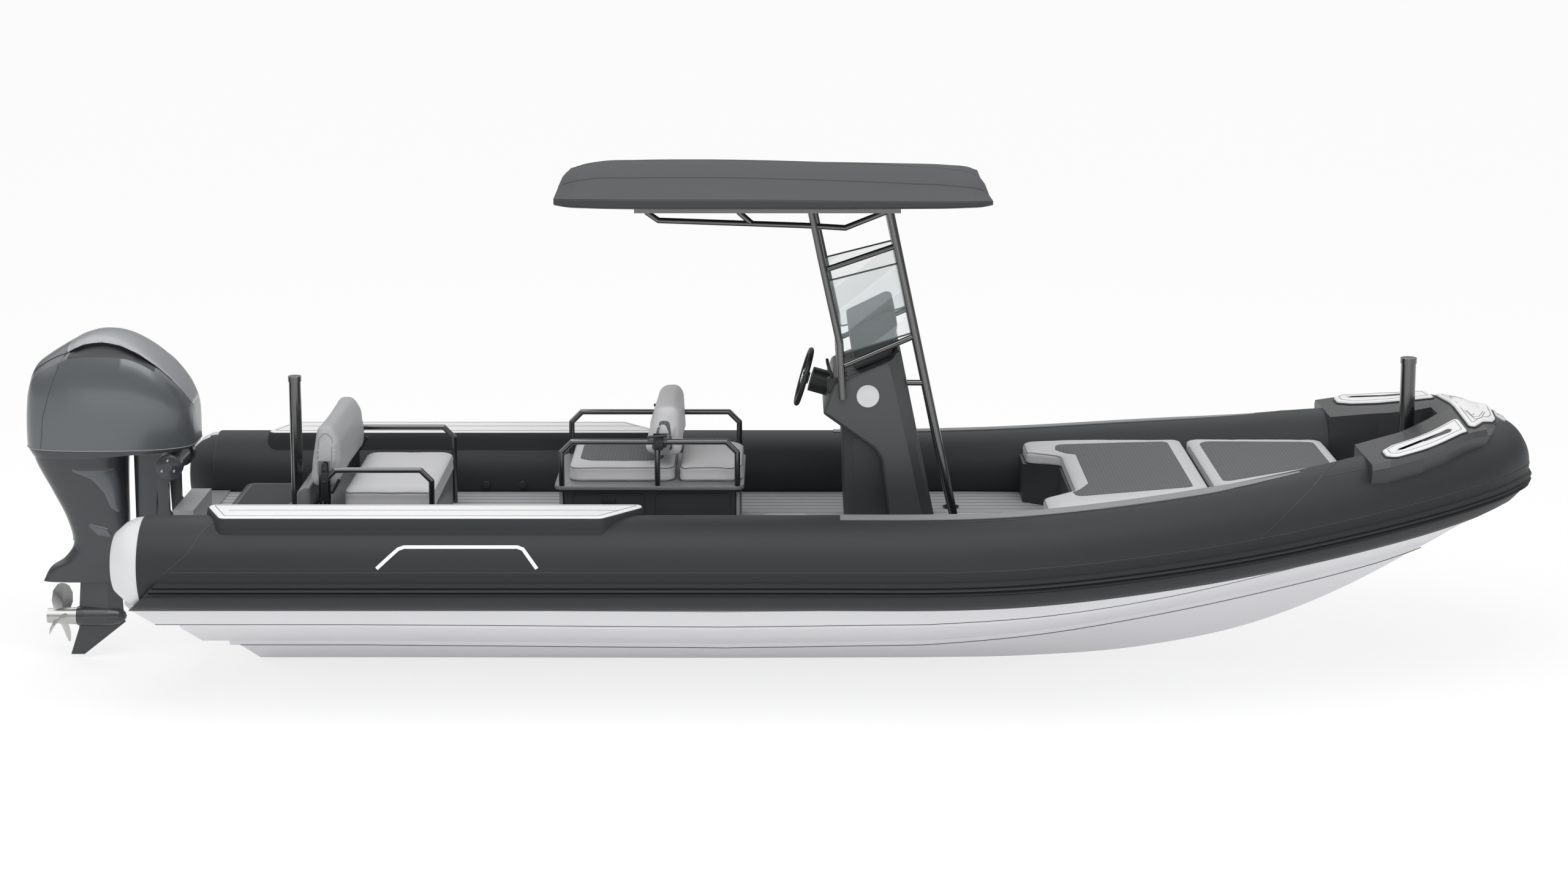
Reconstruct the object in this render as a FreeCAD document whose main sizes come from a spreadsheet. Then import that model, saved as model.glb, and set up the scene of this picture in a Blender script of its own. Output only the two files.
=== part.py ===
import FreeCAD, Part
import Sketcher
import math
import os

# Rigid inflatable boat with a hardtop, in millimetres.
# +X points to the bow, +Y to port and +Z up. The origin is on the centre plane
# at the waterline, and the keel lies below it.

V = FreeCAD.Vector
doc = FreeCAD.newDocument("rigid_inflatable_boat")

SIZES = {
    # Hull and deck
    "keel_depth": 480,
    "strake_half": 600,
    "strake_depth": 215,
    "chine_half": 1065,
    "chine_height": 16,
    "sheer_half": 1125,
    "sheer_height": 116,
    "hull_aft_x": -3240,
    "hull_straight_x": 1100,
    "deck_height": 300,
    "deck_thickness": 30,
    "deck_front_x": 2040,
    "transom_aft_x": -3120,
    "transom_thickness": 115,
    "transom_height": 455,
    "transom_block_half": 270,
    "transom_wing_height": 310,
    "well_half": 600,
    "fit": 0.3,
    # Collar
    "collar_radius": 250,
    "collar_half": 1080,
    "collar_height": 370,
    "collar_aft_x": -3100,
    "collar_bend_x": 500,
    "collar_nose_x": 4310,
    "collar_nose_height": 700,
    "strake_bulge": 34,
    "strake_skirt": 14,
    "strake_top_x": -2950,
    "strake_tip_x": -3190,
    "cap_length": 165,
    # Tube pads
    "pad_half_width": 160,
    "pad_aft_x": -2810,
    "pad_front_x": -380,
    "pad_thickness": 30,
    "pad_flare": 22,
    "pad_aft_slant": 130,
    "pad_front_slant": 264,
    # Posts
    "tow_post_x": -2460,
    "tow_post_radius": 34,
    "tow_post_top": 1174,
    "bow_post_x": 3865,
    "bow_post_radius": 42.5,
    "bow_post_top": 1280,
    "post_cap_height": 32,
    "post_cap_lip": 4,
    "post_flange": 1.6,
    "post_flange_thickness": 8,
    # Aft platform and bench
    "platform_height": 420,
    "platform_aft_x": -2850,
    "platform_front_x": -2420,
    "bench_half": 520,
    "bench_aft_x": -2290,
    "bench_front_x": -1610,
    "bench_base_height": 520,
    "bench_seat_height": 630,
    "bench_rail_half": 570,
    "bench_rail_height": 755,
    "bench_rail_aft_x": -2215,
    "bench_rail_front_x": -1625,
    "rail_radius": 16,
    "bench_hinge_height": 692,
    # Helm seat
    "helm_aft_x": -938,
    "helm_front_x": 75,
    "helm_half": 380,
    "helm_base_height": 607,
    "helm_plate_thickness": 25,
    "helm_split_x": -277,
    "helm_cushion_height": 732,
    "helm_cushion_half": 325,
    "helm_rail_height": 880,
    "helm_rail_half": 410,
    "helm_hinge_x": -345,
    "helm_hinge_height": 862,
    # Console
    "console_half": 420,
    "console_foot_aft_x": 925,
    "console_foot_front_x": 1190,
    "pedestal_half": 340,
    "disc_radius": 63,
    # Steering
    "wheel_radius": 172,
    "wheel_rim_radius": 15,
    "wheel_x": 433,
    "wheel_height": 1170,
    "wheel_lean": 16,
    # Hardtop frame
    "frame_half": 445,
    "aft_leg_radius": 21,
    "front_leg_radius": 24,
    "bar_radius": 16,
    "glass_thickness": 6,
    "glass_half": 432,
    # Hardtop
    "roof_aft_x": -925,
    "roof_front_x": 1449,
    "roof_half": 850,
    "roof_crease_half": 400,
    "roof_rim_height": 2238,
    "roof_rise": 134,
    "roof_frame_depth": 62,
    "leg_bend_drop": 251,
    # Bow lounge
    "lounge_aft_x": 1730,
    "lounge_front_x": 3480,
    "lounge_cushion": 76,
    "lounge_split_x": 2685,
    "lounge_notch_x": 1930,
    "lounge_notch_half": 430,
    "lounge_notch_flare": 150,
    "lounge_gap": 14,
    # Bow
    "bow_well_aft_x": 3500,
    "bow_well_front_x": 4020,
    "bow_well_floor": 590,
    "bow_pad_thickness": 20,
    # Outboard
    "tilt_x": -3150,
    "tilt_height": 690,
    "steer_x": -3330,
    "cowl_half": 320,
    "cowl_wall": 26,
    "engine_half": 170,
    "propeller_height": -232,
    "propeller_radius": 188,
    "gearcase_aft_x": -3742,
    "gearcase_radius": 61,
    "shaft_radius": 14,
}

sheet = doc.addObject("Spreadsheet::Sheet", "sizes")
for row, (alias, size) in enumerate(SIZES.items(), start=1):
    sheet.set("A%d" % row, alias)
    sheet.set("B%d" % row, str(size))
    sheet.setAlias("B%d" % row, alias)
doc.recompute()


def get(alias):
    """The value of one cell of the sheet"""
    return float(getattr(sheet, alias))


KEEP = []


def keep(item, label):
    """Name an object as one sub-part of the boat"""
    item.Label = label
    KEEP.append(item)
    return item


def feature(label, shape):
    """A sub-part whose shape is worked out from the sheet's sizes"""
    item = doc.addObject("Part::Feature", label)
    item.Shape = shape
    return keep(item, label)


def block(label, low, high):
    """A plain block between two corners, each given as three expressions of the sheet"""
    item = doc.addObject("Part::Box", label)
    for side, start, end in zip(("Length", "Width", "Height"), low, high):
        item.setExpression(side, "(%s) - (%s)" % (end, start))
    for axis, start in zip("xyz", low):
        item.setExpression("Placement.Base.%s" % axis, start)
    return keep(item, label)


def profile_body(label, profiles):
    """A body of side profiles padded both ways: each is points of two expressions (x, z) and a half width"""
    body = doc.addObject("PartDesign::Body", label)
    plane = [item for item in body.Origin.OriginFeatures if item.Role == "XZ_Plane"][0]
    for number, (outline, half_width) in enumerate(profiles):
        sketch = body.newObject("Sketcher::SketchObject", "%s_outline_%d" % (label, number))
        sketch.AttachmentSupport = [(plane, "")]
        sketch.MapMode = "FlatFace"
        places = [(evaluate(x), evaluate(z)) for x, z in outline]
        corners = [V(x, z, 0) for x, z in places]
        for start, end in zip(corners, corners[1:] + corners[:1]):
            sketch.addGeometry(Part.LineSegment(start, end), False)
        for index in range(len(corners)):
            follower = (index + 1) % len(corners)
            sketch.addConstraint(Sketcher.Constraint("Coincident", index, 2, follower, 1))
        for index, (place, names) in enumerate(zip(places, outline)):
            for kind, value, name in zip(("DistanceX", "DistanceY"), place, names):
                added = sketch.addConstraint(Sketcher.Constraint(kind, -1, 1, index, 1, value))
                sketch.setExpression("Constraints[%d]" % added, name)
        pad = body.newObject("PartDesign::Pad", "%s_pad_%d" % (label, number))
        pad.Profile = sketch
        pad.SideType = "Symmetric"
        pad.setExpression("Length", "2 * (%s)" % half_width)
        doc.recompute()
    return keep(body, label)


def evaluate(expression):
    """The number that an expression of the sheet gives"""
    return float(sheet.evalExpression(expression.replace("sizes.", "")))


def rod(points, radius):
    """A round tube that runs through some points, with ball corners"""
    pieces = []
    for start, end in zip(points, points[1:]):
        pieces.append(Part.makeCylinder(radius, (end - start).Length, start, end - start))
    for corner in points[1:-1]:
        pieces.append(Part.makeSphere(radius, corner))
    if len(pieces) == 1:
        return pieces[0]
    return pieces[0].multiFuse(pieces[1:]).removeSplitter()


def mirrored(shape):
    """The same shape on the other side of the centre plane"""
    return shape.mirror(V(0, 0, 0), V(0, 1, 0))


def loft(rings):
    """A solid through closed rings of corners"""
    wires = [Part.makePolygon(ring + ring[:1]) for ring in rings]
    return Part.makeLoft(wires, True, True)


def box(x_low, x_high, y_low, y_high, z_low, z_high):
    """A block between two corners, for cuts and small forms"""
    return Part.makeBox(x_high - x_low, y_high - y_low, z_high - z_low, V(x_low, y_low, z_low))


def prism(outline, y_low, y_high):
    """A side profile (x, z) drawn out from y_low to y_high"""
    corners = [V(x, y_low, z) for x, z in outline]
    face = Part.Face(Part.makePolygon(corners + corners[:1]))
    return face.extrude(V(0, y_high - y_low, 0))


# The collar's centre line on the starboard side: straight along the hull, then in and
# up to the nose on one smooth curve.
RADIUS = get("collar_radius")
FIT = get("fit")
NOSE = V(get("collar_nose_x"), 0, get("collar_nose_height"))
BEND = V(get("collar_bend_x"), -get("collar_half"), get("collar_height"))
STERN = V(get("collar_aft_x"), -get("collar_half"), get("collar_height"))
CURVE_STATIONS = 30


def collar_curve():
    """The curved part of the collar's centre line, from the bend to the nose"""
    shares = [(0.29, 0.996, 0.056), (0.50, 0.894, 0.262), (0.656, 0.750, 0.466), (0.787, 0.602, 0.687),
              (0.892, 0.42, 0.86), (0.967, 0.207, 0.97)]
    points = [BEND]
    for along, half, rise in shares:
        x = BEND.x + (NOSE.x - BEND.x) * along
        y = BEND.y * half
        z = BEND.z + (NOSE.z - BEND.z) * rise
        points.append(V(x, y, z))
    points.append(NOSE)
    curve = Part.BSplineCurve()
    curve.interpolate(Points=points, InitialTangent=V(1, 0, 0), FinalTangent=V(0, 1, 0))
    return curve


COLLAR = collar_curve()


def collar_stations():
    """Points along the centre line with the outward and upward directions there"""
    stations = [(STERN, V(0, -1, 0), V(0, 0, 1))]
    for index in range(CURVE_STATIONS + 1):
        share = COLLAR.FirstParameter + (COLLAR.LastParameter - COLLAR.FirstParameter) * index / CURVE_STATIONS
        point = COLLAR.value(share)
        ahead = COLLAR.tangent(share)[0]
        out = ahead.cross(V(0, 0, 1)).normalize()
        stations.append((point, out, out.cross(ahead).normalize()))
    return stations


STATIONS = collar_stations()
SEAM_STATION = 20


def collar_point(x):
    """The collar's centre on the starboard side at one x"""
    if x <= BEND.x:
        return V(x, BEND.y, BEND.z)
    low, high = COLLAR.FirstParameter, COLLAR.LastParameter
    for step in range(40):
        middle = (low + high) / 2
        if COLLAR.value(middle).x < x:
            low = middle
        else:
            high = middle
    return COLLAR.value(low)


def circle_wire(station, radius):
    """A ring square to the centre line, its seam outboard"""
    point, out, up = station
    ring = Part.Wire([Part.makeCircle(radius)])
    ring.Placement = FreeCAD.Placement(point, FreeCAD.Rotation(out, up, out.cross(up), "XYZ"))
    return ring


def collar_span(stations, radius):
    """The tube between some stations of one side"""
    return Part.makeLoft([circle_wire(station, radius) for station in stations], True, True)


def around_nose(stations):
    """Stations of the starboard side, which end at the nose, followed by their port twins"""
    port = [(V(point.x, -point.y, point.z), V(out.x, -out.y, out.z), V(up.x, -up.y, up.z))
            for point, out, up in reversed(stations[:-1])]
    return stations + port


def collar_cutter(clearance):
    """The whole collar, fattened by a clearance, to trim what fits against it"""
    stern = (STERN - V(400, 0, 0), STATIONS[0][1], STATIONS[0][2])
    return collar_span(around_nose([stern] + STATIONS), RADIUS + clearance)


CUTTER = collar_cutter(FIT)


def trimmed(shape):
    """A shape cut clear of the collar on both sides"""
    return shape.cut(CUTTER)


def solid_part(shape):
    """The largest solid of a cut, without chips"""
    return max(shape.Solids, key=lambda solid: solid.Volume)


def interpolate(table, x):
    """A value between the rows (x, value) of a short list"""
    if x <= table[0][0]:
        return table[0][1]
    for (x_low, low), (x_high, high) in zip(table, table[1:]):
        if x <= x_high:
            return low + (high - low) * (x - x_low) / (x_high - x_low)
    return table[-1][1]


# Lines of the hull: the keel, the spray rail, the chine and the edge under the collar.
KEEL = -get("keel_depth")
HULL_AFT = get("hull_aft_x")
STRAIGHT = get("hull_straight_x")
DECK_TOP = get("deck_height")
DECK_UNDER = DECK_TOP - get("deck_thickness")
HULL_TOP = [(HULL_AFT, DECK_UNDER), (2050, DECK_UNDER), (2400, DECK_UNDER + 60), (3050, 400), (3500, 490),
            (3800, 530), (4020, 550), (4200, 560), (4330, 500), (4440, 480)]


def hull_ring(x, keel, strake, chine, sheer):
    """One cross-section of the hull, from the keel up to the deck and down the other side"""
    top = interpolate(HULL_TOP, x)
    under_collar = collar_point(min(x, NOSE.x - 1))
    shoulder = max(min(sheer[0] - 45, -under_collar.y - 90), 3)
    side = [strake, chine, sheer, (shoulder, top)]
    starboard = [V(x, -y, z) for y, z in side]
    port = [V(x, y, z) for y, z in reversed(side)]
    return [V(x, 0, keel)] + starboard + port


def hull_bottom():
    """The glass fibre hull, solid below its deck, with stepped after ends"""
    strake = (get("strake_half"), -get("strake_depth"))
    chine = (get("chine_half"), get("chine_height"))
    sheer = (get("sheer_half"), get("sheer_height"))
    rings = [hull_ring(HULL_AFT, KEEL, strake, chine, sheer), hull_ring(STRAIGHT, KEEL, strake, chine, sheer)]
    forward = [
        (1700, -468, (560, -172), (1035, 50), (1100, 155)),
        (2050, -445, (520, -130), (988, 86), (1066, 182)),
        (2400, -408, (468, -80), (915, 128), (1010, 214)),
        (3050, -262, (340, 25), (730, 225), (840, 284)),
        (3500, -78, (225, 105), (545, 292), (680, 350)),
        (3800, 81, (110, 160), (400, 340), (540, 396)),
        (4020, 210, (12, 222), (270, 375), (400, 425)),
        (4200, 312, (9, 322), (125, 398), (240, 446)),
        (4330, 382, (6, 390), (30, 420), (95, 455)),
        (4440, 462, (4, 464), (8, 468), (14, 474)),
    ]
    for x, keel, rail, edge, top in forward:
        rings.append(hull_ring(x, keel, rail, edge, top))
    body = loft(rings)
    far_aft = HULL_AFT - 100
    chine_level = get("chine_height")
    rail_level = -get("strake_depth")
    over_deck = 2 * DECK_TOP
    steps = [(far_aft, 2 * KEEL), (-2700, 2 * KEEL), (-2700, rail_level - 17), (-2760, rail_level - 17),
             (-2760, rail_level + 9), (-2910, rail_level + 9), (-2940, chine_level), (-3070, chine_level),
             (-3222, chine_level + 125), (-3222, over_deck), (far_aft, over_deck)]
    beam = get("sheer_half")
    body = body.cut(prism(steps, -beam, beam))
    well = get("well_half")
    body = body.cut(box(far_aft, get("transom_aft_x"), -well, well, KEEL, over_deck))
    return solid_part(trimmed(body))


def deck():
    """The planked deck between the collar's two sides"""
    edge = get("collar_half")
    plate = box(get("transom_aft_x") + get("transom_thickness") + FIT, get("deck_front_x"), -edge, edge,
                DECK_UNDER + FIT, DECK_TOP)
    return solid_part(trimmed(plate))


def transom():
    """The board between the ends of the collar, with the raised block that the engine hangs on"""
    aft = get("transom_aft_x")
    front = aft + get("transom_thickness")
    edge = get("collar_half")
    block_half = get("transom_block_half")
    foot = DECK_UNDER + FIT
    board = box(aft, front, -edge, edge, foot, get("transom_wing_height"))
    raised = box(aft, front, -block_half, block_half, foot, get("transom_height"))
    return solid_part(trimmed(board.fuse(raised).removeSplitter()))


feature("deck", deck())
feature("transom", transom())

# The collar in three chambers, joined edge to edge at its two forward seams.
side_tube = collar_span(STATIONS[:SEAM_STATION + 1], RADIUS)
feature("tube_starboard", side_tube)
feature("tube_port", mirrored(side_tube))
feature("tube_bow", collar_span(around_nose(STATIONS[SEAM_STATION:]), RADIUS))


def strake_wire(station):
    """The rub strake's section, wrapped on the outer side of the collar"""
    point, out, up = station
    inner = RADIUS + FIT

    def place(reach, angle):
        turn = math.radians(angle)
        return point + out * (reach * math.cos(turn)) + up * (reach * math.sin(turn))

    bulge = get("strake_bulge")
    skirt = get("strake_skirt")
    outline = [(inner, -3), (inner + 0.5 * bulge, -4), (inner + bulge, -8), (inner + bulge, -14),
               (inner + 0.6 * bulge, -16.5), (inner + bulge, -19), (inner + bulge, -26),
               (inner + 0.62 * bulge, -29), (inner + 0.7 * bulge, -32), (inner + skirt, -38),
               (inner + skirt, -50), (inner + skirt, -62), (inner, -70)]
    corners = [place(reach, angle) for reach, angle in outline]
    edges = [Part.LineSegment(a, b).toShape() for a, b in zip(corners, corners[1:])]
    middle = place(inner, -36)
    edges.append(Part.Arc(corners[-1], middle, corners[0]).toShape())
    return Part.Wire(edges)


def rub_strake():
    """One side's rub strake, from its slanted tip at the stern to the middle of the nose"""
    top_x, tip_x = get("strake_top_x"), get("strake_tip_x")
    overhang = tip_x - 10
    stations = [(V(overhang, STERN.y, STERN.z), V(0, -1, 0), V(0, 0, 1))] + STATIONS[1:]
    strip = Part.makeLoft([strake_wire(station) for station in stations], True, True)
    low = STERN.z - RADIUS
    slope = (top_x - tip_x) / RADIUS
    slant = [(tip_x - 2 * RADIUS, STERN.z + RADIUS), (top_x + slope * RADIUS, STERN.z + RADIUS),
             (tip_x - slope * RADIUS, low - RADIUS), (tip_x - 2 * RADIUS, low - RADIUS)]
    return solid_part(strip.cut(prism(slant, 2 * STERN.y, 0)))


strake_side = rub_strake()
hull = hull_bottom().cut(strake_side).cut(mirrored(strake_side))
feature("hull_bottom", solid_part(hull))
feature("rub_strake_starboard", strake_side)
feature("rub_strake_port", mirrored(strake_side))


def stern_cap():
    """The moulded cone that closes one end of the collar"""
    start = STERN.x - FIT
    end = start - get("cap_length")
    profile = [(start, 0), (start, RADIUS - 6), (start - 60, RADIUS - 12), (end + 15, RADIUS - 92),
               (end, RADIUS - 108), (end, 0)]
    outline = [V(x, STERN.y, STERN.z + reach) for x, reach in profile]
    face = Part.Face(Part.makePolygon(outline + outline[:1]))
    return face.revolve(STERN, V(1, 0, 0), 360)


feature("stern_cap_starboard", stern_cap())
feature("stern_cap_port", mirrored(stern_cap()))


def tube_pad(aft, front):
    """A wide step pad on top of the collar: slanted ends, and sides that flare down to the collar"""
    top = STERN.z + RADIUS + get("pad_thickness")
    rings = []
    for half, level in ((get("pad_half_width") + get("pad_flare"), STERN.z + RADIUS / 2), (get("pad_half_width"), top)):
        spread = half - get("pad_half_width")
        inner, outer = STERN.y + half, STERN.y - half
        rings.append([V(aft - spread, inner, level), V(aft + get("pad_aft_slant") - spread, outer, level),
                      V(front - get("pad_front_slant") + spread, outer, level), V(front + spread, inner, level)])
    return solid_part(trimmed(loft(rings)))


pad_side = tube_pad(get("pad_aft_x"), get("pad_front_x"))
feature("tube_pad_starboard", pad_side)
feature("tube_pad_port", mirrored(pad_side))


def cylinder(name, radius, height, x, z):
    """An upright cylinder on the centre plane, its sizes and place given as expressions"""
    item = doc.addObject("Part::Cylinder", name)
    item.setExpression("Radius", radius)
    item.setExpression("Height", height)
    item.setExpression("Placement.Base.x", x)
    item.setExpression("Placement.Base.z", z)
    return item


def post(label, foot):
    """A round post with a base flange and a cap"""
    x, radius, top = ["sizes.%s_%s" % (label, name) for name in ("x", "radius", "top")]
    foot = "%s + sizes.fit" % foot
    column = cylinder(label + "_column", radius, "%s - sizes.post_cap_height - (%s)" % (top, foot), x, foot)
    cap = cylinder(label + "_cap", "%s + sizes.post_cap_lip" % radius, "sizes.post_cap_height", x,
                   "%s - sizes.post_cap_height" % top)
    flange = cylinder(label + "_flange", "%s * sizes.post_flange" % radius, "sizes.post_flange_thickness", x, foot)
    doc.recompute()
    rim = [number for number, edge in enumerate(cap.Shape.Edges, start=1)
           if edge.BoundBox.ZMin > get(label + "_top") - 1][0]
    rounded = doc.addObject("Part::Fillet", label + "_rounded_cap")
    rounded.Base = cap
    rounded.Edges = [(rim, get("post_cap_lip"), get("post_cap_lip"))]
    whole = doc.addObject("Part::MultiFuse", label)
    whole.Shapes = [column, rounded, flange]
    return keep(whole, label)


post("tow_post", "sizes.platform_height")
post("bow_post", "sizes.bow_well_floor")

# The bow moulding caps the nose of the collar and holds the anchor well.
# Each row: x, how far it reaches out past the collar's centre line, its top, and how far
# its outer edge lies below that.
MOULDING = [(3500, 250, 856, 0), (3600, 275, 874, 0), (3800, 280, 908, 5), (3950, 280, 948, 15), (4050, 280, 985, 30),
            (4125, 278, 1002, 42), (4220, 262, 1006, 52), (4310, 240, 990, 60), (4400, 190, 945, 60),
            (4440, 150, 905, 50)]
MOULDING_REACH = [(row[0], row[1]) for row in MOULDING]
MOULDING_TOP = [(row[0], row[2]) for row in MOULDING]
MOULDING_DROP = [(row[0], row[3]) for row in MOULDING]
MOULDING_EDGE = 25


def bow_centre(x):
    """The collar's centre at one x, as far as its nose"""
    return collar_point(min(x, NOSE.x - 1))


def moulding_height(x, half):
    """The height of the bow moulding's top at one x and one distance from the centre plane"""
    top = interpolate(MOULDING_TOP, x)
    centre = -bow_centre(x).y
    inner = max(centre - RADIUS, 20)
    outer = centre + interpolate(MOULDING_REACH, x) - MOULDING_EDGE
    share = min(max((half - inner) / (outer - inner), 0), 1)
    return top - share * interpolate(MOULDING_DROP, x)


def stops(start, end, *tables):
    """Both ends of a span with every x between them where a table has a row"""
    inside = {row[0] for table in tables for row in table if start < row[0] < end}
    return sorted(inside | {start, end})


def both_sides(x, side):
    """A closed ring from one side's points (half, height), from the bottom up"""
    return [V(x, -half, z) for half, z in side] + [V(x, half, z) for half, z in reversed(side)]


def bow_moulding():
    """Walls, floor and cap of the bow in one moulding that overhangs the collar"""
    rings = []
    for x in stops(MOULDING[0][0], MOULDING[-1][0], MOULDING, HULL_TOP):
        centre = bow_centre(x)
        reach = -centre.y + interpolate(MOULDING_REACH, x)
        edge = moulding_height(x, reach)
        inner = max(-centre.y - RADIUS, 20)
        base = interpolate(HULL_TOP, x) + FIT
        foot = max(-centre.y - 60, 20)
        side = [(foot, base), (-centre.y + 0.6 * RADIUS, centre.z), (reach - 10, edge - 60), (reach, edge - 30),
                (reach - MOULDING_EDGE, edge), (inner, interpolate(MOULDING_TOP, x))]
        rings.append(both_sides(x, side))
    body = loft(rings)
    aft, front, floor = get("bow_well_aft_x"), get("bow_well_front_x"), get("bow_well_floor")
    walls = []
    for x in (aft - 100, (aft + front) / 2, front):
        walls.append((x, -collar_point(x).y - RADIUS - 20))
    corners = [V(x, -half, floor) for x, half in walls] + [V(x, half, floor) for x, half in reversed(walls)]
    hollow = Part.Face(Part.makePolygon(corners + corners[:1])).extrude(V(0, 0, floor))
    reach = NOSE.x + 2 * RADIUS
    starboard = Part.makeBox(reach, reach, reach, V(0, -reach, 0))
    side = solid_part(trimmed(body.cut(hollow).common(starboard)))
    return side.fuse(mirrored(side)).removeSplitter()


moulding = bow_moulding()
feature("bow_moulding", moulding)


def pad_ring(x, inner, outer):
    """A cross-section of a pad that lies on the moulding, between two distances from the centre plane"""
    thickness = get("bow_pad_thickness")
    lows = [(half, moulding_height(x, half) + FIT) for half in (inner, outer)]
    return [V(x, -half, z) for half, z in lows] + [V(x, -half, z + thickness) for half, z in reversed(lows)]


def bow_pads():
    """Two side pads and a nose pad, seated on the bow moulding"""
    rings = []
    for x in stops(3590, 4090, MOULDING):
        centre = -bow_centre(x).y
        inner = interpolate([(3590, 40), (3650, 0), (4000, 5), (4090, 110)], x)
        outer = interpolate([(3590, 170), (3630, 248), (4090, 250)], x)
        rings.append(pad_ring(x, centre + inner, centre + outer))
    side = solid_part(loft(rings).cut(moulding))
    nose = []
    for x in stops(4110, 4340, MOULDING):
        centre = -bow_centre(x).y
        half = interpolate([(4110, centre + 235), (4230, 330), (4310, 225), (4340, 150)], x)
        edge = moulding_height(x, half) + FIT
        inner = max(centre - RADIUS, 20)
        crown = interpolate(MOULDING_TOP, x) + FIT
        thickness = get("bow_pad_thickness")
        low = both_sides(x, [(half, edge), (inner, crown)])
        nose.append(low + [point + V(0, 0, thickness) for point in reversed(low)])
    return Part.makeCompound([side, mirrored(side), solid_part(loft(nose).cut(moulding))])


feature("bow_pads", bow_pads())

LOUNGE_TOP = [(1730, 607), (2000, 628), (2540, 655), (3480, 727)]


def lounge_span(start, end, base, top):
    """A solid between the collar's sides, its base and top given as functions of x"""
    rings = []
    for x in stops(start, end, LOUNGE_TOP, HULL_TOP):
        half = -collar_point(x).y
        rings.append(both_sides(x, [(half, base(x)), (half, top(x))]))
    notch_x, notch_half, flare = get("lounge_notch_x"), get("lounge_notch_half"), get("lounge_notch_flare")
    reach = notch_x - 2 * (notch_x - get("lounge_aft_x"))
    corners = [V(reach, -notch_half - 2 * flare, 0), V(notch_x, -notch_half, 0), V(notch_x, notch_half, 0),
               V(reach, notch_half + 2 * flare, 0)]
    notch = Part.Face(Part.makePolygon(corners + corners[:1])).extrude(V(0, 0, 2 * DECK_TOP + NOSE.z))
    return loft(rings).cut(notch)


def lounge_level(x):
    """The top of the locker, on which the cushions lie"""
    return interpolate(LOUNGE_TOP, x) - get("lounge_cushion") - FIT


def lounge_locker():
    """The raised locker below the bow sunpad, with two arms that reach aft"""
    body = lounge_span(get("lounge_aft_x"), get("lounge_front_x"),
                       lambda x: max(interpolate(HULL_TOP, x), DECK_TOP) + FIT, lounge_level)
    return solid_part(trimmed(body))


CUSHION_CUTTER = collar_cutter(get("lounge_gap"))


def lounge_cushion(aft, front):
    """One cushion of the bow sunpad, its sides following the collar"""
    body = lounge_span(aft, front, lambda x: lounge_level(x) + FIT, lambda x: interpolate(LOUNGE_TOP, x))
    return solid_part(body.cut(CUSHION_CUTTER))


LOUNGE_SPLIT = get("lounge_split_x")
feature("lounge_locker", lounge_locker())
feature("lounge_cushion_aft", lounge_cushion(get("lounge_aft_x"), LOUNGE_SPLIT - 1))
feature("lounge_cushion_front", lounge_cushion(LOUNGE_SPLIT + 1, get("lounge_front_x")))

# Aft platform, bench, rails and folding backrest.
block("aft_platform",
      ("sizes.platform_aft_x", "-sizes.bench_rail_half", "sizes.deck_height + sizes.fit"),
      ("sizes.platform_front_x", "sizes.bench_rail_half", "sizes.platform_height"))
block("bench_base",
      ("sizes.bench_aft_x", "-sizes.bench_half", "sizes.deck_height + sizes.fit"),
      ("sizes.bench_front_x - 15", "sizes.bench_half", "sizes.bench_base_height"))
block("bench_cushion",
      ("sizes.bench_aft_x + 160", "-sizes.bench_half + 20", "sizes.bench_base_height + sizes.fit"),
      ("sizes.bench_front_x", "sizes.bench_half - 20", "sizes.bench_seat_height"))


def side_rail(half, aft, front, top, foot, bend=60):
    """A hoop of tube that stands beside a seat"""
    y = -half
    points = [V(aft, y, foot), V(aft, y, top - bend), V(aft + bend, y, top), V(front - bend, y, top),
              V(front, y, top - bend), V(front, y, foot)]
    return rod(points, get("rail_radius"))


def bench_rails():
    """Both hoops beside the bench, with the upright plates that carry its backrest"""
    half = get("bench_rail_half")
    foot = DECK_TOP + FIT
    aft = get("bench_rail_aft_x")
    hoop = side_rail(half, aft, get("bench_rail_front_x"), get("bench_rail_height"), foot)
    inner = half - 14
    plate = box(aft - 32, aft + 32, -inner - 14, -inner, foot, get("bench_rail_height") + 50)
    hole = Part.makeCylinder(10.4, 60, V(aft, -inner - 30, get("bench_hinge_height")), V(0, 1, 0))
    side = hoop.fuse(plate).cut(hole)
    return Part.makeCompound([solid_part(side), mirrored(solid_part(side))])


feature("bench_rails", bench_rails())

BENCH_BACK = [(-2300, 644), (-2292, 786), (-2276, 948), (-2256, 978), (-2190, 980), (-2152, 899),
              (-2143, 757), (-2156, 640)]


def backrest_shape(outline, half_low, half_high, hinge_x, hinge_z, pin_half):
    """A padded backrest, narrower at its top, with the pin that it turns on"""
    bottom = min(z for x, z in outline)
    top = max(z for x, z in outline)
    slab = prism(outline, -half_low, half_low)
    taper = [V(-9000, -half_low - 1, bottom - 1), V(-9000, -half_low, bottom), V(-9000, -half_high, top),
             V(-9000, -half_low - 1, top)]
    wedge = Part.Face(Part.makePolygon(taper + taper[:1])).extrude(V(18000, 0, 0))
    slab = slab.cut(wedge).cut(mirrored(wedge))
    pin = Part.makeCylinder(10, 2 * pin_half, V(hinge_x, -pin_half, hinge_z), V(0, 1, 0))
    return solid_part(slab.fuse(pin))


feature("bench_backrest", backrest_shape(BENCH_BACK, 540, 440, get("bench_rail_aft_x"),
                                         get("bench_hinge_height"), get("bench_rail_half")))

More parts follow.
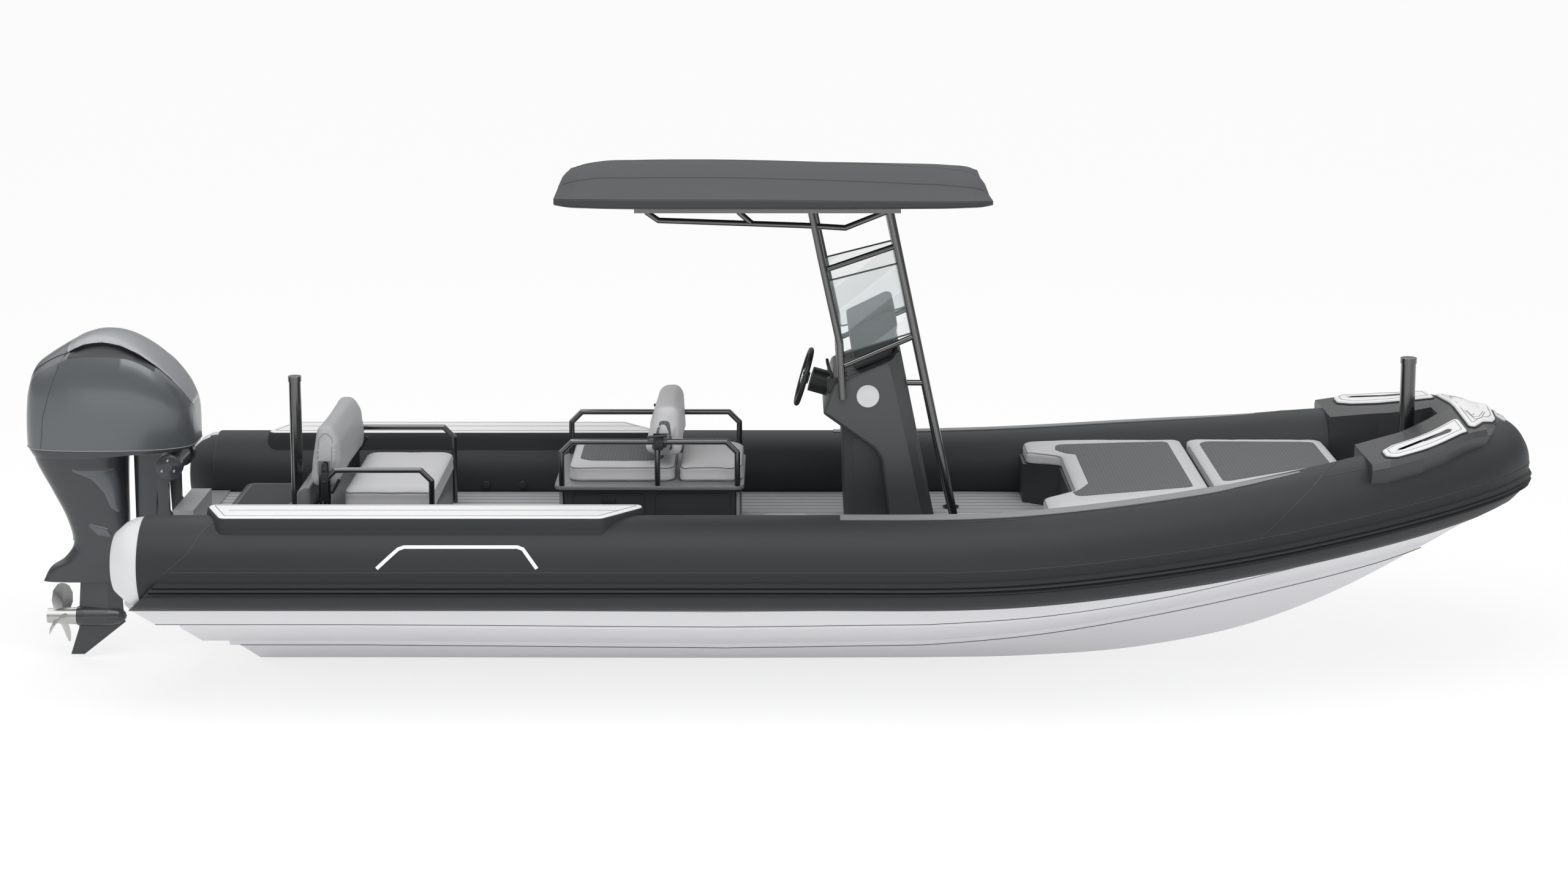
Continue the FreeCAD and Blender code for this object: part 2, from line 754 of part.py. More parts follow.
# Helm seat: a base with a top plate, two cushions, rails and a folding backrest.
block("helm_base",
      ("sizes.helm_aft_x", "-sizes.helm_half", "sizes.deck_height + sizes.fit"),
      ("sizes.helm_front_x", "sizes.helm_half", "sizes.helm_base_height"))
block("helm_plate",
      ("sizes.helm_aft_x - 24", "-sizes.helm_half - 50", "sizes.helm_base_height + sizes.fit"),
      ("sizes.helm_front_x + 23", "sizes.helm_half + 50", "sizes.helm_base_height + sizes.helm_plate_thickness"))
block("helm_cushion_aft",
      ("sizes.helm_aft_x + 45", "-sizes.helm_cushion_half",
       "sizes.helm_base_height + sizes.helm_plate_thickness + sizes.fit"),
      ("sizes.helm_split_x - 5", "sizes.helm_cushion_half", "sizes.helm_cushion_height"))
block("helm_cushion_front",
      ("sizes.helm_split_x + 5", "-sizes.helm_cushion_half",
       "sizes.helm_base_height + sizes.helm_plate_thickness + sizes.fit"),
      ("sizes.helm_front_x + 20", "sizes.helm_cushion_half", "sizes.helm_cushion_height"))


def helm_rails():
    """Both hoops beside the helm seat, with the clamps that carry its backrest"""
    half = get("helm_rail_half")
    top = get("helm_rail_height")
    foot = get("helm_base_height") + get("helm_plate_thickness") + FIT
    radius = get("rail_radius")
    hoop = side_rail(half, get("helm_aft_x") + 20, get("helm_front_x") - 15, top, foot)
    hinge_x = get("helm_hinge_x")
    middle = rod([V(hinge_x - 40, -half, foot), V(hinge_x - 40, -half, top)], radius)
    clamp = box(hinge_x - 62, hinge_x + 28, -half + 6, -half + 18, top - 75, top + 45)
    hole = Part.makeCylinder(10.4, 60, V(hinge_x, -half - 10, get("helm_hinge_height")), V(0, 1, 0))
    side = hoop.multiFuse([middle, clamp]).cut(hole)
    return Part.makeCompound([solid_part(side), mirrored(solid_part(side))])


feature("helm_rails", helm_rails())
HELM_BACK = [(-462, 800), (-380, 1062), (-356, 1070), (-292, 1070), (-272, 1048), (-254, 784), (-380, 780)]
feature("helm_backrest", backrest_shape(HELM_BACK, 360, 345, get("helm_hinge_x"), get("helm_hinge_height"),
                                        get("helm_rail_half") - 7))

# Console: a shell with wide cheeks over a recessed pedestal, and a padded dash.
FOOT = "sizes.deck_height + sizes.fit"
CONSOLE_SHELL = [(535, 1041), (597, 1207), (915, 1344), (960, 1425), (get("console_foot_front_x"), DECK_TOP + FIT),
                 (get("console_foot_aft_x"), DECK_TOP + FIT), (859, 775), (817, 839)]
shell_outline = [("%g" % x, "%g" % z) for x, z in CONSOLE_SHELL]
shell_outline[4] = ("sizes.console_foot_front_x", FOOT)
shell_outline[5] = ("sizes.console_foot_aft_x", FOOT)
pedestal_outline = [("622", "1000"), ("655", FOOT), ("sizes.console_foot_front_x - 90", FOOT), ("900", "1100")]
profile_body("console", [(shell_outline, "sizes.console_half"), (pedestal_outline, "sizes.pedestal_half")])


def console_shell(spread=0.0):
    """The console's outer form, for what is cut to fit it"""
    half = get("console_half") + spread
    return prism(CONSOLE_SHELL, -half, half)


def console_disc():
    """The plain round plates on the console's two cheeks"""
    y = get("console_half")
    plate = Part.makeCylinder(get("disc_radius"), 3, V(785, -y - FIT - 3, 1141), V(0, 1, 0))
    return Part.makeCompound([plate, mirrored(plate)])


feature("console_discs", console_disc())

# Steering wheel with its hub, tilted back on a stub shaft that enters the dash.
LEAN = math.radians(get("wheel_lean"))
WHEEL_AXIS = V(math.cos(LEAN), 0, -math.sin(LEAN))
WHEEL_CENTRE = V(get("wheel_x"), 0, get("wheel_height"))


def steering_wheel():
    """Rim, three spokes and hub"""
    rim_radius = get("wheel_rim_radius")
    reach = get("wheel_radius") - rim_radius
    rim = Part.makeTorus(reach, rim_radius, WHEEL_CENTRE, WHEEL_AXIS)
    upright = V(math.sin(LEAN), 0, math.cos(LEAN))
    across = V(0, 1, 0)
    pieces = [Part.makeCylinder(34, 46, WHEEL_CENTRE - WHEEL_AXIS * 6, WHEEL_AXIS)]
    for angle in (90, 210, 330):
        turn = math.radians(angle)
        direction = across * math.cos(turn) + upright * math.sin(turn)
        pieces.append(Part.makeCylinder(9, reach, WHEEL_CENTRE + WHEEL_AXIS * 8, direction))
    return rim.multiFuse(pieces).removeSplitter()


def helm_pod():
    """The round dash pod behind the wheel, which holds its bearing"""
    start = WHEEL_CENTRE + WHEEL_AXIS * 40.5
    pod = Part.makeCylinder(70, 180, start, WHEEL_AXIS)
    return solid_part(pod.cut(console_shell()))


feature("steering_wheel", steering_wheel())
feature("helm_pod", helm_pod())


def frame_point(x, z):
    """A point in the plane of the starboard side frame"""
    return V(x, -get("frame_half"), z)


CHORD = get("roof_rim_height") - get("roof_frame_depth")
LEG_BEND = CHORD - get("leg_bend_drop")
FRONT_LEG_FOOT = (1257, 501)
FRONT_LEG_BEND = (953, LEG_BEND)


def side_frame(clearance=0.0, braced=True):
    """One side of the hardtop's frame: two legs, bars between them and the roof chord"""
    aft, front, bar = [get(name) + clearance for name in ("aft_leg_radius", "front_leg_radius", "bar_radius")]
    foot = DECK_TOP + FIT
    aft_leg = rod([frame_point(470, CHORD), frame_point(522, LEG_BEND), frame_point(627, 1445),
                   frame_point(645, 1130)], aft)
    front_leg = rod([frame_point(900, CHORD), frame_point(*FRONT_LEG_BEND), frame_point(*FRONT_LEG_FOOT),
                     frame_point(1300, foot + 4)], front)
    bars = [rod([frame_point(655, 1318), frame_point(1045, 1487)], bar),
            rod([frame_point(-437, CHORD), frame_point(-368, CHORD - 48), frame_point(437, CHORD - 76),
                 frame_point(656, CHORD - 89), frame_point(880, CHORD)], bar),
            rod([frame_point(70, CHORD), frame_point(140, CHORD - 61)], bar)]
    if braced:
        bars.append(rod([frame_point(560, LEG_BEND - 67), frame_point(925, LEG_BEND + 59)], bar))
        bars.append(rod([frame_point(1090, 1222), frame_point(1000, 1222)], bar))
    plate = Part.makeCylinder(2 * get("front_leg_radius"), 8, frame_point(1300, foot), V(0, 0, 1))
    frame = aft_leg.multiFuse([front_leg, plate] + bars).removeSplitter()
    far = get("roof_half") + get("roof_front_x")
    floor = box(-far, far, -far, far, 0, foot)
    roof_cut = box(-far, far, -far, far, CHORD - 4, CHORD + far)
    return solid_part(frame.cut(floor).cut(roof_cut).cut(console_shell(FIT)))


feature("frame_starboard", side_frame())
feature("frame_port", mirrored(side_frame(braced=False)))


def roof_frame():
    """The grid of flat bars under the hardtop that ties the two side frames"""
    low = CHORD - 4 + FIT
    high = get("roof_rim_height") - FIT
    half = get("frame_half") + 18
    runners = [box(-500, 960, -half - 18, -half + 18, low, high), box(-500, 960, half - 18, half + 18, low, high)]
    bars = [box(x - 18, x + 18, -half, half, low + 10, high) for x in (-437, 70, 470, 900)]
    return runners[0].multiFuse(runners[1:] + bars).removeSplitter()


feature("roof_frame", roof_frame())

# Each row: the share of the roof's length, of its width and of its rise
ROOF = [(0.0, 0.80, 0.45), (0.03, 0.90, 0.72), (0.08, 0.95, 0.92), (0.17, 0.99, 0.98), (0.35, 1.0, 1.0),
        (0.60, 1.0, 0.88), (0.80, 0.98, 0.70), (0.93, 0.94, 0.52), (0.98, 0.88, 0.34), (1.0, 0.80, 0.10)]


def hardtop():
    """The moulded roof: a shallow dome with a crease, a rounded rim and a flat underside"""
    aft, front = get("roof_aft_x"), get("roof_front_x")
    under = get("roof_rim_height")
    crown = under + get("roof_rise")
    rings = []
    for along, wide, tall in ROOF:
        x = aft + (front - aft) * along
        half = get("roof_half") * wide
        crease = get("roof_crease_half") * wide
        top = under + 24 + (crown - under - 24) * tall
        edge = under + 22 + (top - under - 22) * 0.30
        side = [(half - 45, under), (half - 8, under + 12), (half, edge), (crease, top - 12)]
        ring = [V(x, -y, z) for y, z in side] + [V(x, 0, top)] + [V(x, y, z) for y, z in reversed(side)]
        rings.append(ring)
    return loft(rings)


feature("hardtop", hardtop())


def front_leg_x(height):
    """Where the front leg's centre line is at one height"""
    (foot_x, foot_z), (bend_x, bend_z) = FRONT_LEG_FOOT, FRONT_LEG_BEND
    return interpolate([(foot_z, foot_x), (bend_z, bend_x)], height)


def windscreen():
    """Side panes between the legs of each frame and a front pane between the front legs"""
    y = get("glass_half")
    thick = get("glass_thickness")
    frame = side_frame(FIT)
    outline = [(550, LEG_BEND - 135), (962, LEG_BEND - 30), (1040, 1500), (640, 1375)]
    pane = solid_part(prism(outline, -y, -y + thick).cut(frame))
    rings = []
    for height in (1470, LEG_BEND - 75):
        x = front_leg_x(height)
        rings.append([V(x, -y, height), V(x, y, height), V(x + thick, y, height), V(x + thick, -y, height)])
    front = solid_part(loft(rings).cut(frame).cut(mirrored(frame)))
    return Part.makeCompound([pane, mirrored(pane), front])


feature("windscreen", windscreen())

# Outboard engine: clamp brackets on the transom, a swivel bracket that tilts, and the
# engine itself, which steers on the swivel bracket.
TILT = V(get("tilt_x"), 0, get("tilt_height"))
STEER_X = get("steer_x")
TRANSOM_AFT = get("transom_aft_x")


def clamp_bracket():
    """Two cheeks bolted to the transom, joined by the tilt pin's tube"""
    face = TRANSOM_AFT - FIT
    outline = [(face, 60), (face, 375), (-3158, 430), (-3158, 590), (-3088, 700), (-3110, 745), (-3150, 762),
               (-3215, 730), (-3228, 660), (-3222, 560), (-3210, 300), (-3135, 60)]
    cheeks = [prism(outline, -190, -150), prism(outline, 150, 190)]
    boss = Part.makeCylinder(75, 60, V(TILT.x, -210, TILT.z), V(0, 1, 0))
    hole = Part.makeCylinder(24.4, 500, V(TILT.x, -250, TILT.z), V(0, 1, 0))
    tie = box(face - 40, face, -150, 150, 90, 170)
    body = cheeks[0].multiFuse([cheeks[1], boss, mirrored(boss), tie])
    board = box(TRANSOM_AFT - FIT, 0, -1000, 1000, 0, get("transom_height") + FIT)
    return solid_part(body.cut(hole).cut(board))


feature("clamp_bracket", clamp_bracket())


def swivel_bracket():
    """The bracket that tilts on the pin and carries the steering post"""
    pin = Part.makeCylinder(24, 440, V(TILT.x, -220, TILT.z), V(0, 1, 0))
    head = Part.makeCylinder(62, 280, V(TILT.x, -140, TILT.z), V(0, 1, 0))
    arm = prism([(-3100, 700), (-3150, 750), (STEER_X, 735), (STEER_X, 205), (-3300, 200),
                 (-3255, 330), (-3235, 560), (-3150, 630)], -120, 120)
    bore = Part.makeCylinder(32.4, 800, V(STEER_X, 0, 100))
    post = Part.makeCylinder(58, 520, V(STEER_X, 0, 200))
    body = pin.multiFuse([head, arm, post]).cut(bore)
    return solid_part(body.removeSplitter())


feature("swivel_bracket", swivel_bracket())


def midsection():
    """The leg housing from the cowl down to the plate above the propeller, with its steering post"""
    rings = []
    for z, aft, front, half in ((700 - FIT, -3940, -3420, 165), (510, -3850, -3425, 120), (355, -3777, -3425, 95),
                                (215, -3745, -3430, 85), (120, -3800, -3432, 80), (60, -3885, -3434, 70),
                                (-20, -3930, -3436, 60)):
        mid = (aft + front) / 2
        rings.append([V(front, -half * 0.45, z), V(front - 60, -half, z), V(mid, -half, z), V(aft + 60, -half * 0.6, z),
                      V(aft, 0, z), V(aft + 60, half * 0.6, z), V(mid, half, z), V(front - 60, half, z),
                      V(front, half * 0.45, z)])
    leg = loft(list(reversed(rings)))
    plate = prism([(-3962, -20), (-3962, -34), (-3400, -34), (-3400, -20)], -140, 140)
    post = Part.makeCylinder(32, 660, V(STEER_X, 0, 120))
    yoke_top = box(-3519, STEER_X + 40, -60, 60, 742, 784 - FIT)
    neck = box(-3519, -3425, -60, 60, 690, 784 - FIT)
    yoke_low = box(-3460, STEER_X + 30, -45, 45, 120, 185)
    return solid_part(leg.multiFuse([plate, post, yoke_top, neck, yoke_low]))


feature("midsection", midsection())


def gearcase():
    """The gear housing: strut, torpedo, skeg"""
    radius = get("gearcase_radius")
    level = get("propeller_height")
    strut = loft([[V(-3486, 0, -34 - FIT), V(-3560, -38, -34 - FIT), V(-3720, -10, -34 - FIT), V(-3720, 10, -34 - FIT),
                   V(-3560, 38, -34 - FIT)],
                  [V(-3478, 0, level), V(-3560, -34, level), V(-3735, -10, level), V(-3735, 10, level),
                   V(-3560, 34, level)]])
    end = get("gearcase_aft_x")
    outline = [V(end, 0, 0), V(end, 0, radius - 6), V(end + 42, 0, radius), V(-3560, 0, radius),
               V(-3500, 0, radius - 14), V(-3470, 0, radius - 40), V(-3462, 0, 0)]
    torpedo = Part.Face(Part.makePolygon(outline + outline[:1])).revolve(V(0, 0, 0), V(1, 0, 0), 360)
    torpedo.translate(V(0, 0, level))
    skeg = prism([(-3500, level), (-3735, level), (-3738, level - 70), (-3790, -459), (-3712, -459),
                  (-3470, level - 35)], -7, 7)
    bore = Part.makeCylinder(get("shaft_radius") + 0.4, 120, V(get("gearcase_aft_x") + 80, 0, level), V(-1, 0, 0))
    return solid_part(strut.multiFuse([torpedo, skeg]).cut(bore))


feature("gearcase", gearcase())


def propeller():
    """Three blades on a hub, with its shaft"""
    level = get("propeller_height")
    start = get("gearcase_aft_x") - 3
    hub = Part.makeCone(50, 42, 170, V(start, 0, level), V(-1, 0, 0))
    reach = get("propeller_radius")
    blades = []
    for index in range(3):
        turn = math.radians(100 + 120 * index)
        rings = []
        for share, chord, pitch, thick in ((0.16, 90, 60, 9), (0.45, 140, 45, 7), (0.75, 150, 34, 5), (0.95, 100, 28, 4),
                                           (1.0, 40, 26, 3)):
            distance = reach * share
            skew = 18 * share
            ring = []
            for along, across in ((-0.5, 0), (0, -0.5), (0.5, 0), (0, 0.5)):
                lean = math.radians(pitch)
                x = start - 95 + along * chord * math.sin(lean) - across * thick * math.cos(lean)
                y = along * chord * math.cos(lean) + across * thick * math.sin(lean) + skew
                ring.append(V(x, y, distance))
            rings.append(ring)
        blade = loft(rings)
        blade.rotate(V(0, 0, 0), V(1, 0, 0), math.degrees(turn))
        blade.translate(V(0, 0, level))
        blades.append(blade)
    shaft = Part.makeCylinder(get("shaft_radius"), 90, V(start + 70, 0, level), V(-1, 0, 0))
    return solid_part(hub.multiFuse(blades + [shaft]))


feature("propeller", propeller())

COWL_SIDE = [(-3963, 800), (-3963, 890), (-3947, 1035), (-3935, 1144), (-3913, 1252), (-3890, 1288),
             (-3773, 1375), (-3665, 1425), (-3558, 1438), (-3452, 1429), (-3348, 1389), (-3223, 1310),
             (-3119, 1216), (-3065, 1144), (-3025, 1031), (-3015, 926), (-3015, 800)]
COWL_PLAN = [(0.0, 0.0), (0.0, 0.30), (0.05, 0.72), (0.18, 0.95), (0.40, 1.0), (0.65, 0.96), (0.85, 0.78),
             (0.96, 0.50), (1.0, 0.22), (1.0, 0.0)]


def cowl_reach(z):
    """The cowl's aft and front ends at one height"""
    aft_side = [(height, x) for x, height in COWL_SIDE[:9]]
    front_side = [(height, x) for x, height in reversed(COWL_SIDE[8:])]
    return interpolate(aft_side, z), interpolate(front_side, z)


def cowl_ring(z, width, inset=0.0):
    """A level cross-section of the cowl"""
    aft, front = cowl_reach(z)
    aft, front = aft + inset, front - inset
    half = get("cowl_half") * width - inset
    side = [(aft + (front - aft) * along, half * wide) for along, wide in COWL_PLAN[1:-1]]
    return [V(x, -y, z) for x, y in side] + [V(x, y, z) for x, y in reversed(side)]


COWL_WIDTH = [(800, 0.93), (900, 0.98), (1030, 1.0), (1150, 0.97), (1250, 0.88), (1330, 0.74), (1390, 0.56),
              (1428, 0.30)]


def top_cowl():
    """The engine cover, hollow around the engine block"""
    outer = loft([cowl_ring(z, width) for z, width in COWL_WIDTH])
    inner = loft([cowl_ring(z, width, get("cowl_wall")) for z, width in COWL_WIDTH[:6]])
    inner.translate(V(0, 0, -0.01))
    return solid_part(outer.cut(inner))


TRAY_SIDE = [(-3963, 780), (-3940, 700), (-3520, 700), (-3520, 784), (-3015, 784)]


def lower_cowl():
    """The tray that closes the cowl from below, deeper over the leg than over the brackets"""
    rings = [cowl_ring(800, 0.93), cowl_ring(800, 0.86)]
    for corner in rings[0]:
        corner.z = 800 - FIT
    for corner in rings[1]:
        corner.z = 690
    outline = TRAY_SIDE + [(-2900, 784), (-2900, 900), (-4100, 900)]
    return solid_part(loft(rings).common(prism(outline, -400, 400)))


feature("top_cowl", top_cowl())
feature("lower_cowl", lower_cowl())
block("engine_block", ("-3850", "-sizes.engine_half", "800 + sizes.fit"), ("-3250", "sizes.engine_half", "1180"))

doc.recompute()
failed = [item.Label for item in doc.Objects if "Invalid" in item.State or "Error" in item.State]
if failed:
    raise RuntimeError("objects that failed: %s" % ", ".join(failed))
unsound = [item.Label for item in KEEP if item.Shape.isNull() or not item.Shape.isValid()]
if unsound:
    raise RuntimeError("no valid shape: %s" % ", ".join(unsound))

os.makedirs("parts", exist_ok=True)
for item in KEEP:
    item.Shape.exportStep("parts/%s.step" % item.Label)
    print(item.Label, len(item.Shape.Solids), round(item.Shape.Volume / 1e6, 2))
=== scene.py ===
import bmesh
import bpy
import math
import numpy as np
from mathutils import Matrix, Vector
from mathutils.bvhtree import BVHTree


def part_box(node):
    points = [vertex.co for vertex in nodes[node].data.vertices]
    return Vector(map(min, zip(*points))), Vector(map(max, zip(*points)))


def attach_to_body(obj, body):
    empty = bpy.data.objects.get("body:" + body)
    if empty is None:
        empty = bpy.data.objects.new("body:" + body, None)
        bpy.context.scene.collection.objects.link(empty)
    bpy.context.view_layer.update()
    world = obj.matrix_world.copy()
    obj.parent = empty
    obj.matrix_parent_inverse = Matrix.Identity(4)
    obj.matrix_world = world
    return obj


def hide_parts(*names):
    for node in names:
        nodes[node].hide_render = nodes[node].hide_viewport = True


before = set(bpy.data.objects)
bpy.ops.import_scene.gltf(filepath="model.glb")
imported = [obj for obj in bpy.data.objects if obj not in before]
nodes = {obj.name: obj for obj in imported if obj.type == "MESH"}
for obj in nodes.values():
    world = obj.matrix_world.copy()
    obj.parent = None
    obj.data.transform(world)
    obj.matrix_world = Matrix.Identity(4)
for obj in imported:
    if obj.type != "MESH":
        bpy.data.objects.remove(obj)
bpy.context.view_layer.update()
scene = bpy.context.scene
scene.view_settings.view_transform = "Standard"

# The boat stands on its keel in a plain white room. The camera looks from starboard, a
# little down from above, with a long lens. A broad soft lamp hangs over the boat and a
# long low one stands in front. Mirrored rays see a bright zenith over a dim horizon.
bpy.ops.object.select_all(action="DESELECT")
keel_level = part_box("hull_bottom")[0].z
bpy.ops.object.camera_add(location=(0.32, -16.616, keel_level + 4.902), rotation=(math.radians(80.7), 0, 0))
camera = bpy.context.object
camera.name = "side_camera"
camera.data.lens = 68.4
camera.data.shift_y = -0.1
scene.camera = camera

for name, place, tilt, width, height, power in (("overhead_lamp", (-0.5, -4.5, 7.5), 32, 10.0, 5.0, 300.0),
                                                ("front_fill_lamp", (0.3, -9.5, 0.3), 92, 14.0, 1.6, 60.0)):
    bpy.ops.object.light_add(type="AREA", location=place, rotation=(math.radians(tilt), 0, 0))
    lamp = bpy.context.object
    lamp.name = name
    lamp.data.shape = "RECTANGLE"
    lamp.data.size = width
    lamp.data.size_y = height
    lamp.data.energy = power

room = bpy.data.worlds.new("white_room")
room.use_nodes = True
room_nodes = room.node_tree.nodes
room_links = room.node_tree.links
backdrop = room_nodes["Background"]
backdrop.inputs["Color"].default_value = (1.0, 1.0, 1.0, 1.0)
rays = room_nodes.new("ShaderNodeLightPath")
seen = room_nodes.new("ShaderNodeMath")
seen.operation = "MAXIMUM"
room_links.new(rays.outputs["Is Camera Ray"], seen.inputs[0])
room_links.new(rays.outputs["Is Transmission Ray"], seen.inputs[1])
toward = room_nodes.new("ShaderNodeTexCoord")
toward_parts = room_nodes.new("ShaderNodeSeparateXYZ")
room_links.new(toward.outputs["Generated"], toward_parts.inputs[0])
mirrored_sky = room_nodes.new("ShaderNodeMapRange")
mirrored_sky.interpolation_type = "SMOOTHSTEP"
mirrored_sky.inputs["From Min"].default_value = 0.15
mirrored_sky.inputs["From Max"].default_value = 0.85
mirrored_sky.inputs["To Min"].default_value = 0.30
mirrored_sky.inputs["To Max"].default_value = 1.9
room_links.new(toward_parts.outputs[2], mirrored_sky.inputs["Value"])
by_mirror = room_nodes.new("ShaderNodeMix")
by_mirror.inputs[2].default_value = 0.78
room_links.new(rays.outputs["Is Glossy Ray"], by_mirror.inputs[0])
room_links.new(mirrored_sky.outputs["Result"], by_mirror.inputs[3])
by_sight = room_nodes.new("ShaderNodeMix")
by_sight.inputs[3].default_value = 1.0
room_links.new(seen.outputs[0], by_sight.inputs[0])
room_links.new(by_mirror.outputs[0], by_sight.inputs[2])
room_links.new(by_sight.outputs[0], backdrop.inputs["Strength"])
scene.world = room

bpy.ops.object.select_all(action="DESELECT")
bpy.ops.mesh.primitive_plane_add(size=160, location=(0, 0, keel_level - 0.002))
floor = bpy.context.object
floor.name = "pale_floor"
bpy.ops.object.transform_apply(location=True, rotation=True, scale=True)
floor_paint = bpy.data.materials.new("floor_white")
floor_paint.use_nodes = True
floor_shader = floor_paint.node_tree.nodes["Principled BSDF"]
floor_shader.inputs["Roughness"].default_value = 0.95
floor_shader.inputs["Specular IOR Level"].default_value = 0.0
floor_shader.inputs["Emission Color"].default_value = (1.0, 1.0, 1.0, 1.0)
floor_rays = floor_paint.node_tree.nodes.new("ShaderNodeLightPath")
floor_shade = floor_paint.node_tree.nodes.new("ShaderNodeMix")
floor_shade.data_type = "RGBA"
floor_shade.inputs[6].default_value = (0.92, 0.92, 0.92, 1.0)
floor_shade.inputs[7].default_value = (0.34, 0.34, 0.34, 1.0)
floor_paint.node_tree.links.new(floor_rays.outputs["Is Camera Ray"], floor_shade.inputs[0])
floor_paint.node_tree.links.new(floor_shade.outputs[2], floor_shader.inputs["Base Color"])
floor_light = floor_paint.node_tree.nodes.new("ShaderNodeMix")
floor_light.inputs[2].default_value = 0.20
floor_light.inputs[3].default_value = 0.70
floor_paint.node_tree.links.new(floor_rays.outputs["Is Camera Ray"], floor_light.inputs[0])
floor_paint.node_tree.links.new(floor_light.outputs[0], floor_shader.inputs["Emission Strength"])
floor.data.materials.append(floor_paint)

# The hull is one moulding of glass fibre with a deep V, a spray rail and a chine on each
# side, finished in pale gelcoat. Its bottom steps up in three notches at the stern.


def fair(knots, values, at, first=None, last=None):
    """A fair curve through some values, each at its knot, read at other places"""
    knots = np.array(knots, float)
    values = np.array(values, float)
    slope = np.gradient(values, knots, axis=0)
    if first is not None:
        slope[0] = first
    if last is not None:
        slope[-1] = last
    at = np.atleast_1d(np.array(at, float))
    row = np.clip(np.searchsorted(knots, at) - 1, 0, len(knots) - 2)
    span = knots[row + 1] - knots[row]
    part = (at - knots[row]) / span
    if values.ndim > 1:
        span = span[:, None]
        part = part[:, None]
    before, after = values[row], values[row + 1]
    rise = part * part * (3 - 2 * part)
    lead = part * (1 - part) * (1 - part) * span
    trail = part * part * (1 - part) * span
    return before + (after - before) * rise + slope[row] * lead - slope[row + 1] * trail


def pick(piece):
    """Select one piece alone and make it active"""
    bpy.ops.object.select_all(action="DESELECT")
    piece.select_set(True)
    bpy.context.view_layer.objects.active = piece


def outward(piece):
    """Merge doubles and turn every face outwards"""
    pick(piece)
    bpy.ops.object.mode_set(mode="EDIT")
    bpy.ops.mesh.select_all(action="SELECT")
    bpy.ops.mesh.remove_doubles(threshold=0.00002)
    bpy.ops.mesh.normals_make_consistent(inside=False)
    bpy.ops.object.mode_set(mode="OBJECT")
    return piece


def skin(name, rings, loop=False):
    """A closed mesh through rings of points, joined end to end or closed at both ends"""
    rings = np.array(rings, float)
    count, size = rings.shape[:2]
    faces = []
    for row in range(count if loop else count - 1):
        following = (row + 1) % count
        for column in range(size):
            beside = (column + 1) % size
            faces.append((row * size + column, row * size + beside,
                          following * size + beside, following * size + column))
    if not loop:
        faces.append(tuple(reversed(range(size))))
        faces.append(tuple(range((count - 1) * size, count * size)))
    mesh = bpy.data.meshes.new(name)
    mesh.from_pydata([tuple(point) for point in rings.reshape(-1, 3)], [], faces)
    piece = bpy.data.objects.new(name, mesh)
    scene.collection.objects.link(piece)
    return outward(piece)


def modify(piece, kind, **settings):
    """Give a piece a modifier and apply it"""
    modifier = piece.modifiers.new(kind.lower(), kind)
    for setting, value in settings.items():
        setattr(modifier, setting, value)
    pick(piece)
    bpy.ops.object.modifier_apply(modifier=modifier.name)
    return piece


def shade(piece, angle=32):
    """Shade a piece smooth, but for its sharp edges"""
    pick(piece)
    bpy.ops.object.shade_smooth_by_angle(angle=math.radians(angle))
    return piece


def join(name, pieces):
    """Join some pieces into one mesh"""
    bpy.ops.object.select_all(action="DESELECT")
    for piece in pieces:
        piece.select_set(True)
    bpy.context.view_layer.objects.active = pieces[0]
    bpy.ops.object.join()
    pieces[0].name = name
    return pieces[0]


def twin(piece, name):
    """The same piece on the port side"""
    copy = bpy.data.objects.new(name, piece.data.copy())
    scene.collection.objects.link(copy)
    for vertex in copy.data.vertices:
        vertex.co.y = -vertex.co.y
    copy.data.flip_normals()
    return copy


def attach(piece, material, body="hull", stands_for=()):
    """Give a finished piece its material and the body that it moves with"""
    if not piece.data.materials:
        piece.data.materials.append(material)
    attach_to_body(piece, body)
    if stands_for:
        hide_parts(*stands_for)
    return piece


def attach_both(piece, material, body="hull", stands_for=()):
    """Attach a starboard piece, then its twin on the port side"""
    attach(piece, material, body, stands_for)
    other = twin(piece, piece.name.replace("_starboard", "") + "_port")
    attach(other, material, body, [node.replace("starboard", "port") for node in stands_for])
    return piece, other


def shades(*levels):
    """A colour from its screen levels, 0 to 255"""
    if len(levels) == 1:
        levels = levels * 3
    return tuple((value / 255 / 12.92 if value < 11 else ((value / 255 + 0.055) / 1.055) ** 2.4)
                 for value in levels) + (1.0,)


def make_grain():
    """A node group: broad cloudy mottling and fine grain over a surface"""
    group = bpy.data.node_groups.new("cloud_and_grain", "ShaderNodeTree")
    for socket in ("Coarse", "Fine"):
        group.interface.new_socket(socket, in_out="INPUT", socket_type="NodeSocketFloat")
    group.interface.new_socket("Place", in_out="INPUT", socket_type="NodeSocketVector")
    for socket in ("Cloud", "Grain"):
        group.interface.new_socket(socket, in_out="OUTPUT", socket_type="NodeSocketFloat")
    start = group.nodes.new("NodeGroupInput")
    end = group.nodes.new("NodeGroupOutput")
    for result, size, detail in (("Cloud", "Coarse", 4.0), ("Grain", "Fine", 2.0)):
        noise = group.nodes.new("ShaderNodeTexNoise")
        noise.inputs["Detail"].default_value = detail
        group.links.new(start.outputs["Place"], noise.inputs["Vector"])
        group.links.new(start.outputs[size], noise.inputs["Scale"])
        group.links.new(noise.outputs["Fac"], end.inputs[result])
    return group


GRAIN = make_grain()


